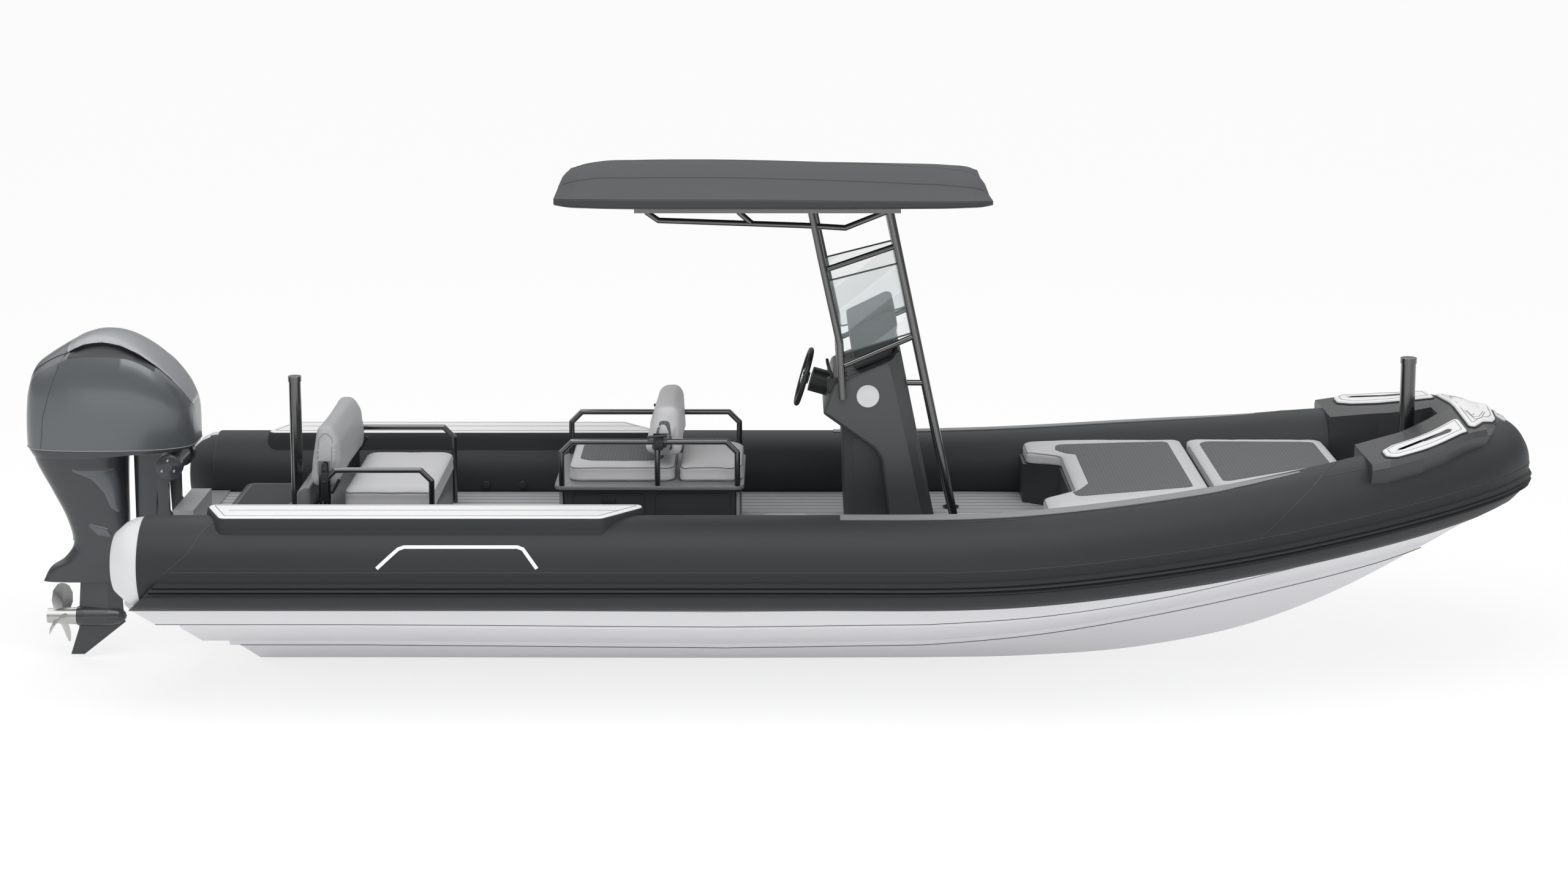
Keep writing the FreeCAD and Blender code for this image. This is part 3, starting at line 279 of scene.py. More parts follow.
def finish(name, colour, rough, metal=0.0, coat=0.0, cloud=0.10, coarse=2.5, fine=260.0, bump=0.15,
           gloss=0.5):
    """A finish with cloudy colour, uneven roughness and a fine grain"""
    material = bpy.data.materials.new(name)
    material.use_nodes = True
    tree = material.node_tree
    shader = tree.nodes["Principled BSDF"]
    shader.inputs["Metallic"].default_value = metal
    shader.inputs["Coat Weight"].default_value = coat
    shader.inputs["Coat Roughness"].default_value = 0.12
    shader.inputs["Specular IOR Level"].default_value = gloss
    place = tree.nodes.new("ShaderNodeTexCoord")
    grain = tree.nodes.new("ShaderNodeGroup")
    grain.node_tree = GRAIN
    grain.inputs["Coarse"].default_value = coarse
    grain.inputs["Fine"].default_value = fine
    tree.links.new(place.outputs["Object"], grain.inputs["Place"])
    tint = tree.nodes.new("ShaderNodeMix")
    tint.name = "tint"
    tint.data_type = "RGBA"
    tint.inputs[6].default_value = tuple(value * (1 - cloud) for value in colour[:3]) + (1.0,)
    tint.inputs[7].default_value = tuple(min(value * (1 + cloud), 1.0) for value in colour[:3]) + (1.0,)
    tree.links.new(grain.outputs["Cloud"], tint.inputs[0])
    tree.links.new(tint.outputs[2], shader.inputs["Base Color"])
    polish = tree.nodes.new("ShaderNodeMapRange")
    polish.inputs["To Min"].default_value = max(rough - 0.06, 0.02)
    polish.inputs["To Max"].default_value = min(rough + 0.06, 1.0)
    tree.links.new(grain.outputs["Cloud"], polish.inputs["Value"])
    tree.links.new(polish.outputs["Result"], shader.inputs["Roughness"])
    relief = tree.nodes.new("ShaderNodeBump")
    relief.name = "relief"
    relief.inputs["Strength"].default_value = bump
    relief.inputs["Distance"].default_value = 0.001
    tree.links.new(grain.outputs["Grain"], relief.inputs["Height"])
    tree.links.new(relief.outputs["Normal"], shader.inputs["Normal"])
    return material


gelcoat = finish("pale_gelcoat", shades(216, 216, 219), 0.38, coat=0.15, cloud=0.03, bump=0.03)
# This dark line paint is painted shade along the hull's steps and the roof's creases and rim, and real seams
# on the cowl.
shade_and_seam_ink = finish("shade_and_seam_line", shades(58, 59, 62), 0.6, cloud=0.05)

# Each row: x, keel height, spray rail (half, height), chine (half, height), sheer (half, height)
hull_lines = [
    (-3.24, -0.480, 0.600, -0.215, 1.065, 0.016, 1.125, 0.116),
    (-1.00, -0.480, 0.600, -0.215, 1.065, 0.016, 1.125, 0.116),
    (1.10, -0.480, 0.600, -0.215, 1.065, 0.016, 1.125, 0.116),
    (1.70, -0.468, 0.560, -0.172, 1.035, 0.050, 1.100, 0.155),
    (2.40, -0.408, 0.468, -0.080, 0.910, 0.126, 1.005, 0.214),
    (3.05, -0.262, 0.340, 0.025, 0.728, 0.225, 0.838, 0.284),
    (3.50, -0.078, 0.225, 0.105, 0.545, 0.292, 0.680, 0.350),
    (3.80, 0.081, 0.110, 0.160, 0.400, 0.340, 0.540, 0.396),
    (4.02, 0.210, 0.030, 0.222, 0.270, 0.375, 0.400, 0.425),
    (4.20, 0.312, 0.009, 0.322, 0.125, 0.398, 0.240, 0.446),
    (4.33, 0.382, 0.006, 0.390, 0.030, 0.420, 0.095, 0.455),
    (4.44, 0.462, 0.004, 0.464, 0.008, 0.468, 0.014, 0.474),
]
hull_x = [row[0] for row in hull_lines]
hull_rows = [row[1:] for row in hull_lines]
stations = np.concatenate([[-3.24, -2.0, 0.0], np.linspace(1.1, 4.44, 64)])
sections = fair(hull_x, hull_rows, stations)
rail_drop = 0.017
rings = []
for x, (keel, rail_y, rail_z, chine_y, chine_z, sheer_y, sheer_z) in zip(stations, sections):
    drop = min(rail_drop, 0.4 * max(rail_z - keel, 0.0))
    side = [(rail_y, rail_z - drop), (rail_y + 0.25 * drop, rail_z + 0.5 * drop),
            (chine_y - 0.4 * drop, chine_z - drop), (chine_y, chine_z), (sheer_y, sheer_z),
            (max(sheer_y - 0.07, 0.004), sheer_z + 0.1)]
    ring = [(x, 0.0, keel)] + [(x, -y, z) for y, z in side] + [(x, y, z) for y, z in reversed(side)]
    rings.append(ring)
hull = skin("hull_shell", rings)

stern_steps = [(-3.40, -0.96), (-2.70, -0.96), (-2.70, -0.232), (-2.76, -0.232), (-2.76, -0.206),
               (-2.91, -0.206), (-2.94, 0.016), (-3.07, 0.016), (-3.222, 0.141), (-3.222, 0.60),
               (-3.40, 0.60)]
cutter = skin("step_cutter", [[(x, y, z) for x, z in stern_steps] for y in (-1.4, 1.4)])
modify(hull, "BOOLEAN", object=cutter, operation="DIFFERENCE", solver="EXACT")
transom_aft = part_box("transom")[0].x
well = skin("well_cutter", [[(x, y, z) for x, y in ((-3.40, -0.60), (transom_aft, -0.60), (transom_aft, 0.60),
                                                     (-3.40, 0.60))] for z in (-0.60, 0.60)])
modify(hull, "BOOLEAN", object=well, operation="DIFFERENCE", solver="EXACT")
for used in (cutter, well):
    bpy.data.objects.remove(used)
shade(hull, 18)
attach(hull, gelcoat, stands_for=("hull_bottom",))


def tube(name, points, radius, cyclic=False, sides=3):
    """A round tube along some points, with closed ends"""
    curve = bpy.data.curves.new(name, "CURVE")
    curve.dimensions = "3D"
    curve.bevel_depth = radius
    curve.bevel_resolution = sides
    curve.use_fill_caps = True
    spline = curve.splines.new("POLY")
    spline.points.add(len(points) - 1)
    for target, point in zip(spline.points, points):
        target.co = tuple(point) + (1.0,)
    spline.use_cyclic_u = cyclic
    piece = bpy.data.objects.new(name, curve)
    scene.collection.objects.link(piece)
    pick(piece)
    bpy.ops.object.convert(target="MESH")
    return shade(bpy.context.object, 50)


# Thin dark lines along each spray rail and chine are painted shade under the steps of the hull.
line_pieces = []
for side in (-1, 1):
    for y_column, z_column, raise_by, start in ((1, 2, -rail_drop, -2.70), (1, 2, 0.5 * rail_drop, -2.76),
                                                (3, 4, 0.0, -3.07)):
        points = []
        for x, row in zip(stations, sections):
            if x < start or x > 4.0:
                continue
            points.append((x, side * row[y_column], row[z_column] + raise_by))
        first = sections[0]
        points.insert(0, (start, side * first[y_column], first[z_column] + raise_by))
        line_pieces.append(tube("hull_line", points, 0.0022, sides=1))
hull_shade_lines = join("hull_lines", line_pieces)
attach(hull_shade_lines, shade_and_seam_ink)

# The collar is a tube of coated fabric in three air chambers, glued to the hull. Its
# centre line runs straight along the hull, then in and up to the nose.
TUBE = 0.25
tube_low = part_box("tube_starboard")[0]
nose_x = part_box("tube_bow")[1].x - TUBE
stern = Vector((tube_low.x, tube_low.y + TUBE, tube_low.z + TUBE))
bend = Vector((0.5, stern.y, stern.z))
nose = Vector((nose_x, 0.0, 0.70))
shares = [(0.0, 1.0, 0.0), (0.29, 0.996, 0.056), (0.50, 0.894, 0.262), (0.656, 0.750, 0.466),
          (0.787, 0.602, 0.687), (0.892, 0.42, 0.86), (0.967, 0.207, 0.97), (1.0, 0.0, 1.0)]
knots = np.array([(bend.x + (nose.x - bend.x) * along, bend.y * half, bend.z + (nose.z - bend.z) * rise)
                  for along, half, rise in shares])
runs = np.concatenate([[0.0], np.cumsum(np.linalg.norm(np.diff(knots, axis=0), axis=1))])
curved = fair(runs, knots, np.linspace(0, runs[-1], 101), first=(1, 0, 0), last=(0, 1, 0))
straight = np.array([(x, stern.y, stern.z) for x in np.linspace(stern.x, bend.x, 25)[:-1]])
line = np.concatenate([straight, curved])
ahead = np.gradient(line, axis=0)
ahead[0] = (1, 0, 0)
ahead[-1] = (0, 1, 0)
ahead /= np.linalg.norm(ahead, axis=1)[:, None]
out = np.cross(ahead, (0.0, 0.0, 1.0))
out /= np.linalg.norm(out, axis=1)[:, None]
up = np.cross(out, ahead)


def collar_at(x):
    """The collar's centre, outward and upward directions on the starboard side at one x"""
    columns = np.concatenate([line, out, up], axis=1)
    row = np.array([np.interp(x, line[:, 0], columns[:, column]) for column in range(9)])
    return row[:3], row[3:6], row[6:]


def on_collar(x, angle, reach=TUBE):
    """A point on the starboard collar at one x and one angle up from its outer side"""
    centre, outside, above = collar_at(x)
    turn = math.radians(angle)
    return centre + outside * (reach * math.cos(turn)) + above * (reach * math.sin(turn))


def collar_rings(first, last, profile):
    """Rings of one profile of (reach, angle) along part of the centre line"""
    rings = []
    for index in range(first, last):
        ring = []
        for reach, angle in profile:
            turn = math.radians(angle)
            ring.append(line[index] + out[index] * (reach * math.cos(turn)) + up[index]
                        * (reach * math.sin(turn)))
        rings.append(ring)
    return rings


def mirrored_rings(rings):
    """Rings of the starboard side carried on over the nose to port"""
    port = [[(point[0], -point[1], point[2]) for point in ring] for ring in reversed(rings[:-1])]
    return list(rings) + port


collar_fabric = finish("collar_fabric", shades(48, 50, 52), 0.50, cloud=0.06, coarse=1.2, fine=900.0,
                       bump=0.25, gloss=0.2)
seam_index = 24 + 67
round_profile = [(TUBE, angle) for angle in np.linspace(0, 360, 57)[:-1]]
side_tube = skin("collar_starboard", collar_rings(0, seam_index + 1, round_profile))
shade(side_tube, 40)
other_tube = twin(side_tube, "collar_port")
bow_tube = skin("collar_bow", mirrored_rings(collar_rings(seam_index, len(line), round_profile)))
shade(bow_tube, 40)
attach(side_tube, collar_fabric, stands_for=("tube_starboard",))
attach(other_tube, collar_fabric, stands_for=("tube_port",))
attach(bow_tube, collar_fabric, stands_for=("tube_bow",))

# Fabric tapes cover the collar's seams: a slanted one near each stern end, one behind the
# bow moulding, and a long wear patch with a pale trim strip along each shoulder.
tape_ink = finish("seam_tape", shades(52, 53, 55), 0.6, cloud=0.06)
trim_grey = finish("trim_strip", shades(132, 134, 136), 0.5, cloud=0.05)
stripe_white = finish("stripe_film", shades(228, 229, 230), 0.45, cloud=0.02, bump=0.05)


def ribbon(name, centre_line, half_width, thickness=0.0012, reach=TUBE):
    """A thin strip that lies on the collar along points of (x, angle)"""
    places = [on_collar(x, angle, reach) for x, angle in centre_line]
    rings = []
    for index, ((x, angle), place) in enumerate(zip(centre_line, places)):
        before, after = places[max(index - 1, 0)], places[min(index + 1, len(places) - 1)]
        course = (after - before) / np.linalg.norm(after - before)
        centre, outside, above = collar_at(x)
        lift = outside * math.cos(math.radians(angle)) + above * math.sin(math.radians(angle))
        across = np.cross(course, lift)
        across /= np.linalg.norm(across)
        half = half_width[index] if isinstance(half_width, (list, tuple)) else half_width
        rings.append([place - across * half - lift * 0.004, place + across * half - lift * 0.004,
                      place + across * half + lift * thickness,
                      place + lift * (thickness + half * half / 0.5),
                      place - across * half + lift * thickness])
    return skin(name, rings)


def spread(points, step=0.06):
    """Points of (x, angle) filled in so that no two are far apart"""
    filled = [points[0]]
    for start, end in zip(points, points[1:]):
        distance = math.hypot(end[0] - start[0], math.radians(end[1] - start[1]) * TUBE)
        count = max(int(distance / step), 1)
        for index in range(1, count + 1):
            share = index / count
            filled.append((start[0] + (end[0] - start[0]) * share, start[1] + (end[1] - start[1]) * share))
    return filled


stern_seam = ribbon("stern_seam", spread([(-2.68, 86), (-2.76, 55), (-2.83, 25), (-2.96, -1)], 0.03), 0.0022)
bow_seam = ribbon("bow_seam", spread([(3.42, 100), (3.30, 80), (3.21, 62), (3.16, 52), (2.98, 28), (2.80, 2)],
                                     0.03), 0.0022)
hood_seam = ribbon("hood_seam", spread([(3.16, 54), (3.24, 66), (3.40, 64), (3.62, 58)], 0.03), 0.0022)
shoulder_line = ribbon("shoulder_line", spread([(-2.93, 1.5), (4.2, 1.5)], 0.08), 0.0025)
patch_edge = [(0.66, 92), (0.66, 71), (1.62, 71), (1.66, 76), (2.9, 80), (3.12, 92)]
patch_line = ribbon("patch_line", spread(patch_edge, 0.05), 0.002)
seams = join("collar_seams_starboard", [stern_seam, bow_seam, hood_seam, shoulder_line, patch_line])
shade(seams, 40)
attach_both(seams, tape_ink)
trim_course = spread([(0.62, 87), (2.6, 87), (3.16, 90)], 0.06)
trim_widths = [0.045 * min(1.0, 0.25 + 1.5 * (3.16 - x)) for x, angle in trim_course]
trim = ribbon("shoulder_trim_starboard", trim_course, trim_widths)
shade(trim, 40)
attach_both(trim, trim_grey)

stripe_course = spread([(-1.832, 6.2), (-1.72, 30), (-1.69, 32.7), (-1.09, 32.7), (-1.06, 30), (-0.985, 6.2)],
                       0.02)
stripe = ribbon("stripe_starboard", stripe_course, 0.0095, thickness=0.0006)
shade(stripe, 40)
attach_both(stripe, stripe_white)

# The rub strake is an extruded rubber fender, glued along the outer side of the collar:
# a thin flange, three ribs, a deep groove and a broad band that hangs over the chine.
strake_rubber = finish("strake_rubber", shades(42, 43, 45), 0.55, cloud=0.06, fine=500.0, bump=0.2,
                       gloss=0.25)
STRAKE_PROFILE = [(0.2505, 0.5), (0.2525, 0.0), (0.2535, -12.0), (0.272, -13.2), (0.276, -15.0),
                  (0.272, -16.8), (0.259, -17.6), (0.274, -18.6), (0.2835, -20.2), (0.274, -21.8),
                  (0.260, -22.6), (0.274, -23.6), (0.2835, -25.0), (0.276, -26.6), (0.257, -28.0),
                  (0.257, -29.0), (0.2645, -30.5), (0.266, -33.0), (0.266, -50.0), (0.2655, -66.0),
                  (0.262, -70.0), (0.2503, -70.0), (0.2503, -50.0), (0.2503, -30.0), (0.2503, -10.0)]
slant_top = -2.95
slant_share = 0.96
first_ring = []
for reach, angle in STRAKE_PROFILE:
    turn = math.radians(angle)
    height = reach * math.sin(turn)
    first_ring.append((slant_top + slant_share * height, stern.y - reach * math.cos(turn), stern.z + height))
start_index = int(np.searchsorted(line[:, 0], -2.9))
strake_rings = [first_ring] + collar_rings(start_index, len(line), STRAKE_PROFILE)
strake = skin("rub_strake_ribs_starboard", strake_rings)
shade(strake, 28)
attach_both(strake, strake_rubber, stands_for=("rub_strake_starboard",))

# A pale moulded cone closes each stern end of the collar, let in behind the fabric's edge.


def turned(name, profile, centre, axis, count=48):
    """A turned piece from its profile of (along, radius) about an axis"""
    axis = Vector(axis).normalized()
    side = axis.orthogonal().normalized()
    other = axis.cross(side)
    rings = []
    for along, radius in profile:
        middle = Vector(centre) + axis * along
        rings.append([tuple(middle + (side * math.cos(turn) + other * math.sin(turn)) * max(radius, 0.00001))
                      for turn in np.linspace(0, 2 * math.pi, count + 1)[:-1]])
    return shade(skin(name, rings), 40)


cap_paint = finish("cap_gelcoat", shades(212, 213, 215), 0.40, coat=0.1, cloud=0.03, bump=0.03)
cap_end = stern.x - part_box("stern_cap_starboard")[0].x
cap_profile = [(-0.01, 0.2435), (0.004, 0.2438), (0.05, 0.238), (0.10, 0.214), (cap_end - 0.018, 0.172),
               (cap_end - 0.006, 0.160), (cap_end - 0.001, 0.146), (cap_end - 0.001, 0.0)]
stern_cone = turned("stern_cone_starboard", cap_profile, stern, (-1, 0, 0), 64)
for material in (cap_paint, collar_fabric):
    stern_cone.data.materials.append(material)
for face in stern_cone.data.polygons:
    face.material_index = 1 if abs(face.center.y) < 1.03 else 0
attach_both(stern_cone, cap_paint, stands_for=("stern_cap_starboard",))
lip_profile = [(-0.004, 0.2435), (-0.004, 0.2475), (0.004, 0.2475), (0.004, 0.2435)]
lip = turned("cap_lip_starboard", lip_profile, stern, (-1, 0, 0), 64)
attach_both(lip, tape_ink)

# Each shoulder of the collar carries a long step pad of white foam on a dark rubber base
# that flares out to the fabric. One groove runs round the pad and one along its middle.


def inset_corners(corners, distance):
    """The corners of a polygon whose edges have all moved in by a distance"""
    points = np.array(corners, float)
    edges = np.roll(points, -1, axis=0) - points
    turning = (points[:, 0] * np.roll(points, -1, axis=0)[:, 1] - points[:, 1]
               * np.roll(points, -1, axis=0)[:, 0]).sum()
    edges /= np.linalg.norm(edges, axis=1)[:, None]
    inward = np.stack([-edges[:, 1], edges[:, 0]], axis=1) * math.copysign(1, turning)
    before = np.roll(inward, 1, axis=0)
    together = 1 + (before * inward).sum(axis=1)
    return points + (before + inward) * (distance / together)[:, None]


def loop(corners, radius, inset=0.0, steps=4, per_edge=1):
    """An outline with rounded corners, moved in by an inset, with equal counts at any inset"""
    points = inset_corners(corners, inset)
    whole = np.array(corners, float)
    count = len(points)
    ends = []
    for index in range(count):
        corner = points[index]
        back = points[index - 1] - corner
        on = points[(index + 1) % count] - corner
        room_here = 0.46 * min(np.linalg.norm(back), np.linalg.norm(on))
        back /= np.linalg.norm(back)
        on /= np.linalg.norm(on)
        half = math.acos(float(np.clip(back @ on, -0.9998, 0.9998))) / 2
        size = radius[index] if isinstance(radius, (list, tuple)) else radius
        toward = (corner - whole[index]) @ (back + on)
        size = max(size - math.copysign(abs(inset), toward if inset else 1.0), 0.003)
        reach = min(size / math.tan(half), room_here)
        size = reach * math.tan(half)
        middle = (back + on) / np.linalg.norm(back + on)
        centre = corner + middle * (size / math.sin(half))
        first = corner + back * reach - centre
        last = corner + on * reach - centre
        start = math.atan2(first[1], first[0])
        sweep = (math.atan2(last[1], last[0]) - start + math.pi) % (2 * math.pi) - math.pi
        ends.append([centre + size * np.array([math.cos(start + sweep * step / steps),
                                               math.sin(start + sweep * step / steps)])
                     for step in range(steps + 1)])
    outline = []
    for index, arc in enumerate(ends):
        outline.extend(arc)
        following = ends[(index + 1) % count][0]
        for step in range(1, per_edge + 1):
            outline.append(arc[-1] + (following - arc[-1]) * step / (per_edge + 1))
    return outline


AXES = {"xyz": (0, 1, 2), "xzy": (0, 2, 1), "yzx": (2, 0, 1)}


def stack(name, corners, levels, radius, axes="xyz", steps=4, per_edge=1, shape=None):
    """A closed form on a rounded outline, with an inset at each level"""
    rings = []
    for inset, height in levels:
        outline = loop(corners, radius, inset, steps, per_edge)
        local = [(point[0], point[1], height) for point in outline]
        rings.append([tuple(point[axis] for axis in AXES[axes]) for point in local])
    rings = np.array(rings)
    if shape:
        rings = shape(rings)
    return skin(name, rings)


def slab(name, corners, low, high, radius=0.02, rim=0.006, axes="xyz", steps=4, per_edge=1, shape=None):
    """A moulded panel or box with a rounded outline and soft rims"""
    levels = [(rim, low), (0.3 * rim, low + 0.3 * rim), (0, low + rim),
              (0, high - rim), (0.3 * rim, high - 0.3 * rim), (rim, high)]
    return shade(stack(name, corners, levels, radius, axes, steps, per_edge, shape))


def box_corners(low_x, low_y, high_x, high_y):
    """The four corners of a rectangle"""
    return [(low_x, low_y), (high_x, low_y), (high_x, high_y), (low_x, high_y)]


VIEWS = {"down": (Vector((0, 0, 5)), Vector((0, 0, -1))), "port": (Vector((0, -5, 0)), Vector((0, 1, 0))),
         "starboard": (Vector((0, 5, 0)), Vector((0, -1, 0))), "aft": (Vector((5, 0, 0)), Vector((-1, 0, 0))),
         "forward": (Vector((-5, 0, 0)), Vector((1, 0, 0))), "up": (Vector((0, 0, -5)), Vector((0, 0, 1)))}


def cover_of(host):
    """The surface of one piece or several, ready to lay things on"""
    hosts = host if isinstance(host, (list, tuple)) else [host]
    bpy.context.view_layer.update()
    corners = []
    faces = []
    for piece in hosts:
        start = len(corners)
        corners.extend(piece.matrix_world @ vertex.co for vertex in piece.data.vertices)
        faces.extend(tuple(start + corner for corner in face.vertices) for face in piece.data.polygons)
    return BVHTree.FromPolygons(corners, faces)


def cast(cover, first, second, view, lift):
    """The point of a surface that is seen at two coordinates from one side, raised a little"""
    origin, course = VIEWS[view]
    spot = origin.copy()
    free = [axis for axis in range(3) if course[axis] == 0]
    spot[free[0]] = first
    spot[free[1]] = second
    hit = cover.ray_cast(spot, course)[0]
    if hit is None:
        nearest = cover.find_nearest(spot - origin)[0]
        hit = nearest
        hit[free[0]] = first
        hit[free[1]] = second
    return hit - course * lift


def laid(name, corners, radius, host, lifts, view="down", steps=4, per_edge=6):
    """A closed panel that lies on a piece and follows its surface; lifts are (inset, height)"""
    cover = cover_of(host)
    rings = []
    for inset, lift in lifts:
        rings.append([tuple(cast(cover, point[0], point[1], view, lift))
                      for point in loop(corners, radius, inset, steps, per_edge)])
    return shade(skin(name, rings), 35)


def traced(name, points, host, thick, view="down", closed=True, sink=0.3):
    """A thin raised line on a piece, along points seen from one side"""
    cover = cover_of(host)
    path = [cast(cover, point[0], point[1], view, -thick * sink) for point in points]
    return tube(name, path, thick, cyclic=closed, sides=1)


def run_along(points, step=0.04):
    """An open line filled in so that no two of its points are far apart"""
    filled = [points[0]]
    for start, end in zip(points, points[1:]):
        count = max(int(math.dist(start, end) / step), 1)
        filled.extend(tuple(a + (b - a) * index / count for a, b in zip(start, end))
                      for index in range(1, count + 1))
    return filled


pad_white = finish("pad_foam_white", shades(238, 238, 239), 0.55, cloud=0.02, fine=700.0, bump=0.2)
pad_rubber = finish("pad_rubber", shades(46, 47, 49), 0.6, cloud=0.06, fine=500.0, bump=0.25, gloss=0.25)
groove_shade = finish("groove_shadow", shades(74, 75, 78), 0.7, cloud=0.04)
pad_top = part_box("tube_pad_starboard")[1].z
pad_plan = [(-2.68, -1.24), (-0.644, -1.24), (-0.38, -0.92), (-2.81, -0.92)]
base_levels = [(-0.022, pad_top - 0.155), (-0.006, pad_top - 0.05), (0.0, pad_top - 0.012),
               (0.003, pad_top - 0.008), (0.02, pad_top - 0.008)]
pad_base = shade(stack("pad_base_starboard", pad_plan, base_levels, 0.05, per_edge=8), 40)
foam_levels = [(0.03, pad_top - 0.012), (0.012, pad_top - 0.012), (0.009, pad_top - 0.006),
               (0.012, pad_top - 0.002), (0.02, pad_top), (0.05, pad_top + 0.001), (0.15, pad_top + 0.002)]
foam = shade(stack("pad_foam_starboard", pad_plan, foam_levels, 0.05, per_edge=8), 40)
# The grooves are thin dark lines laid on the foam: painted shade in the grooves.
loop_line = traced("pad_loop", loop(pad_plan, 0.05, 0.042, 4, 6), foam, 0.0022)
middle_line = traced("pad_middle", run_along([(-2.65, -1.08), (-0.56, -1.08)], 0.1), foam, 0.0022,
                     closed=False)
pad_lines = join("pad_lines_starboard", [loop_line, middle_line])
for piece, material, stands in ((pad_base, pad_rubber, True), (foam, pad_white, True),
                                (pad_lines, groove_shade, False)):
    both = attach_both(piece, material, stands_for=("tube_pad_starboard",) if stands else ())

# The cockpit floor is a moulded deck under sheets of foam cut into planks, with dark
# seams between them. Lift-out hatches with turn latches lie flush in it.


def add_math(tree, operation, first, second=None):
    """One step of arithmetic in a material"""
    step = tree.nodes.new("ShaderNodeMath")
    step.operation = operation
    for socket, value in zip(step.inputs, (first, second)):
        if value is None:
            continue
        if isinstance(value, (int, float)):
            socket.default_value = value
        else:
            tree.links.new(value, socket)
    return step.outputs[0]


def tint_where(material, mask, colour):
    """Mix another colour into a material where a mask is one"""
    tree = material.node_tree
    shader = tree.nodes["Principled BSDF"]
    present = shader.inputs["Base Color"].links[0].from_socket
    mix = tree.nodes.new("ShaderNodeMix")
    mix.data_type = "RGBA"
    mix.inputs[7].default_value = colour
    tree.links.new(mask, mix.inputs[0])
    tree.links.new(present, mix.inputs[6])
    tree.links.new(mix.outputs[2], shader.inputs["Base Color"])
    return material


def raise_where(material, mask, amount):
    """Add a mask to a material's relief"""
    tree = material.node_tree
    relief = tree.nodes["relief"]
    present = relief.inputs["Height"].links[0].from_socket
    total = add_math(tree, "ADD", present, add_math(tree, "MULTIPLY", mask, amount))
    tree.links.new(total, relief.inputs["Height"])
    return material


def place_axes(material):
    """The separate coordinates of a material's place on the boat"""
    tree = material.node_tree
    spot = tree.nodes.new("ShaderNodeTexCoord")
    apart = tree.nodes.new("ShaderNodeSeparateXYZ")
    tree.links.new(spot.outputs["Object"], apart.inputs[0])
    return apart.outputs


def keep(node, material):
    """Leave a node of the solid model in place, with a better material"""
    shown = nodes[node]
    shown.data.materials.clear()
    shown.data.materials.append(material)


deck_planks = finish("deck_planks", shades(172, 174, 176), 0.75, cloud=0.05, fine=300.0, bump=0.2)
PLANK = 0.08
across = place_axes(deck_planks)[1]
deck_tree = deck_planks.node_tree
share = add_math(deck_tree, "FRACT", add_math(deck_tree, "DIVIDE", add_math(deck_tree, "ADD", across, 8.0),
                                              PLANK))
plank_seam = add_math(deck_tree, "LESS_THAN", share, 0.12)
tint_where(deck_planks, plank_seam, shades(92, 94, 97))
raise_where(deck_planks, plank_seam, -3.0)
keep("deck", deck_planks)
hatch_frame = finish("hatch_frame", shades(196, 197, 199), 0.4, cloud=0.04)
steel = finish("polished_steel", shades(188, 189, 191), 0.22, metal=1.0, cloud=0.04, bump=0.05)
hatches = []
latches = []
for low_x, low_y, high_x, high_y in ((-1.42, -0.26, -1.06, 0.26), (0.20, -0.28, 0.46, 0.28),
                                     (1.30, -0.30, 1.66, 0.30)):
    plan = box_corners(low_x, low_y, high_x, high_y)
    deck_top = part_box("deck")[1].z
    rim_levels = [(0.012, deck_top - 0.004), (0.0, deck_top - 0.004), (0.0, deck_top + 0.003),
                  (0.012, deck_top + 0.003)]
    hatches.append(stack("hatch_rim", plan, rim_levels, 0.05))
    for side in (-1, 1):
        latches.append(turned("hatch_latch",
                              [(0, 0.0), (0, 0.03), (0.005, 0.029), (0.007, 0.024), (0.007, 0)],
                              (high_x - 0.07, side * (high_y - 0.09), deck_top), (0, 0, 1), 24))
attach(shade(join("deck_hatches", hatches)), hatch_frame)
attach(join("hatch_latches", latches), steel)

# The transom is a thick moulded bulkhead with a raised block that takes the outboard's
# clamp. Forward of it stands a dark moulded locker that serves as a bathing platform.
transom_paint = finish("transom_gelcoat", shades(150, 151, 153), 0.4, coat=0.15, cloud=0.04, bump=0.04)
dark_gelcoat = finish("dark_gelcoat", shades(48, 49, 51), 0.45, coat=0.1, cloud=0.06, bump=0.06)
keep("transom", transom_paint)
platform_low, platform_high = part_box("aft_platform")
platform_plan = box_corners(platform_low.x, platform_low.y, platform_high.x, platform_high.y)
platform = slab("aft_locker", platform_plan, platform_low.z, platform_high.z, 0.05, 0.012, per_edge=4)
attach(platform, dark_gelcoat, stands_for=("aft_platform",))
grip_levels = [(0.05, platform_high.z - 0.002), (0.04, platform_high.z - 0.002),
               (0.04, platform_high.z + 0.0005), (0.05, platform_high.z + 0.0015)]
grip_rubber = finish("grip_mat", shades(48, 49, 51), 0.85, cloud=0.08, fine=220.0, bump=0.8)
grip = shade(stack("aft_grip_mat", platform_plan, grip_levels, 0.05, per_edge=4))
attach(grip, grip_rubber)
border = traced("platform_border", loop(platform_plan, 0.05, 0.03, 4, 4), platform, 0.0018)
attach(border, trim_grey)

# Upholstered cushions have a foam core in a sewn vinyl cover: a crowned top, sides that
# pull in a little between the corners, piping round the edges and darker stitched inlays.
SWELL = 0.007


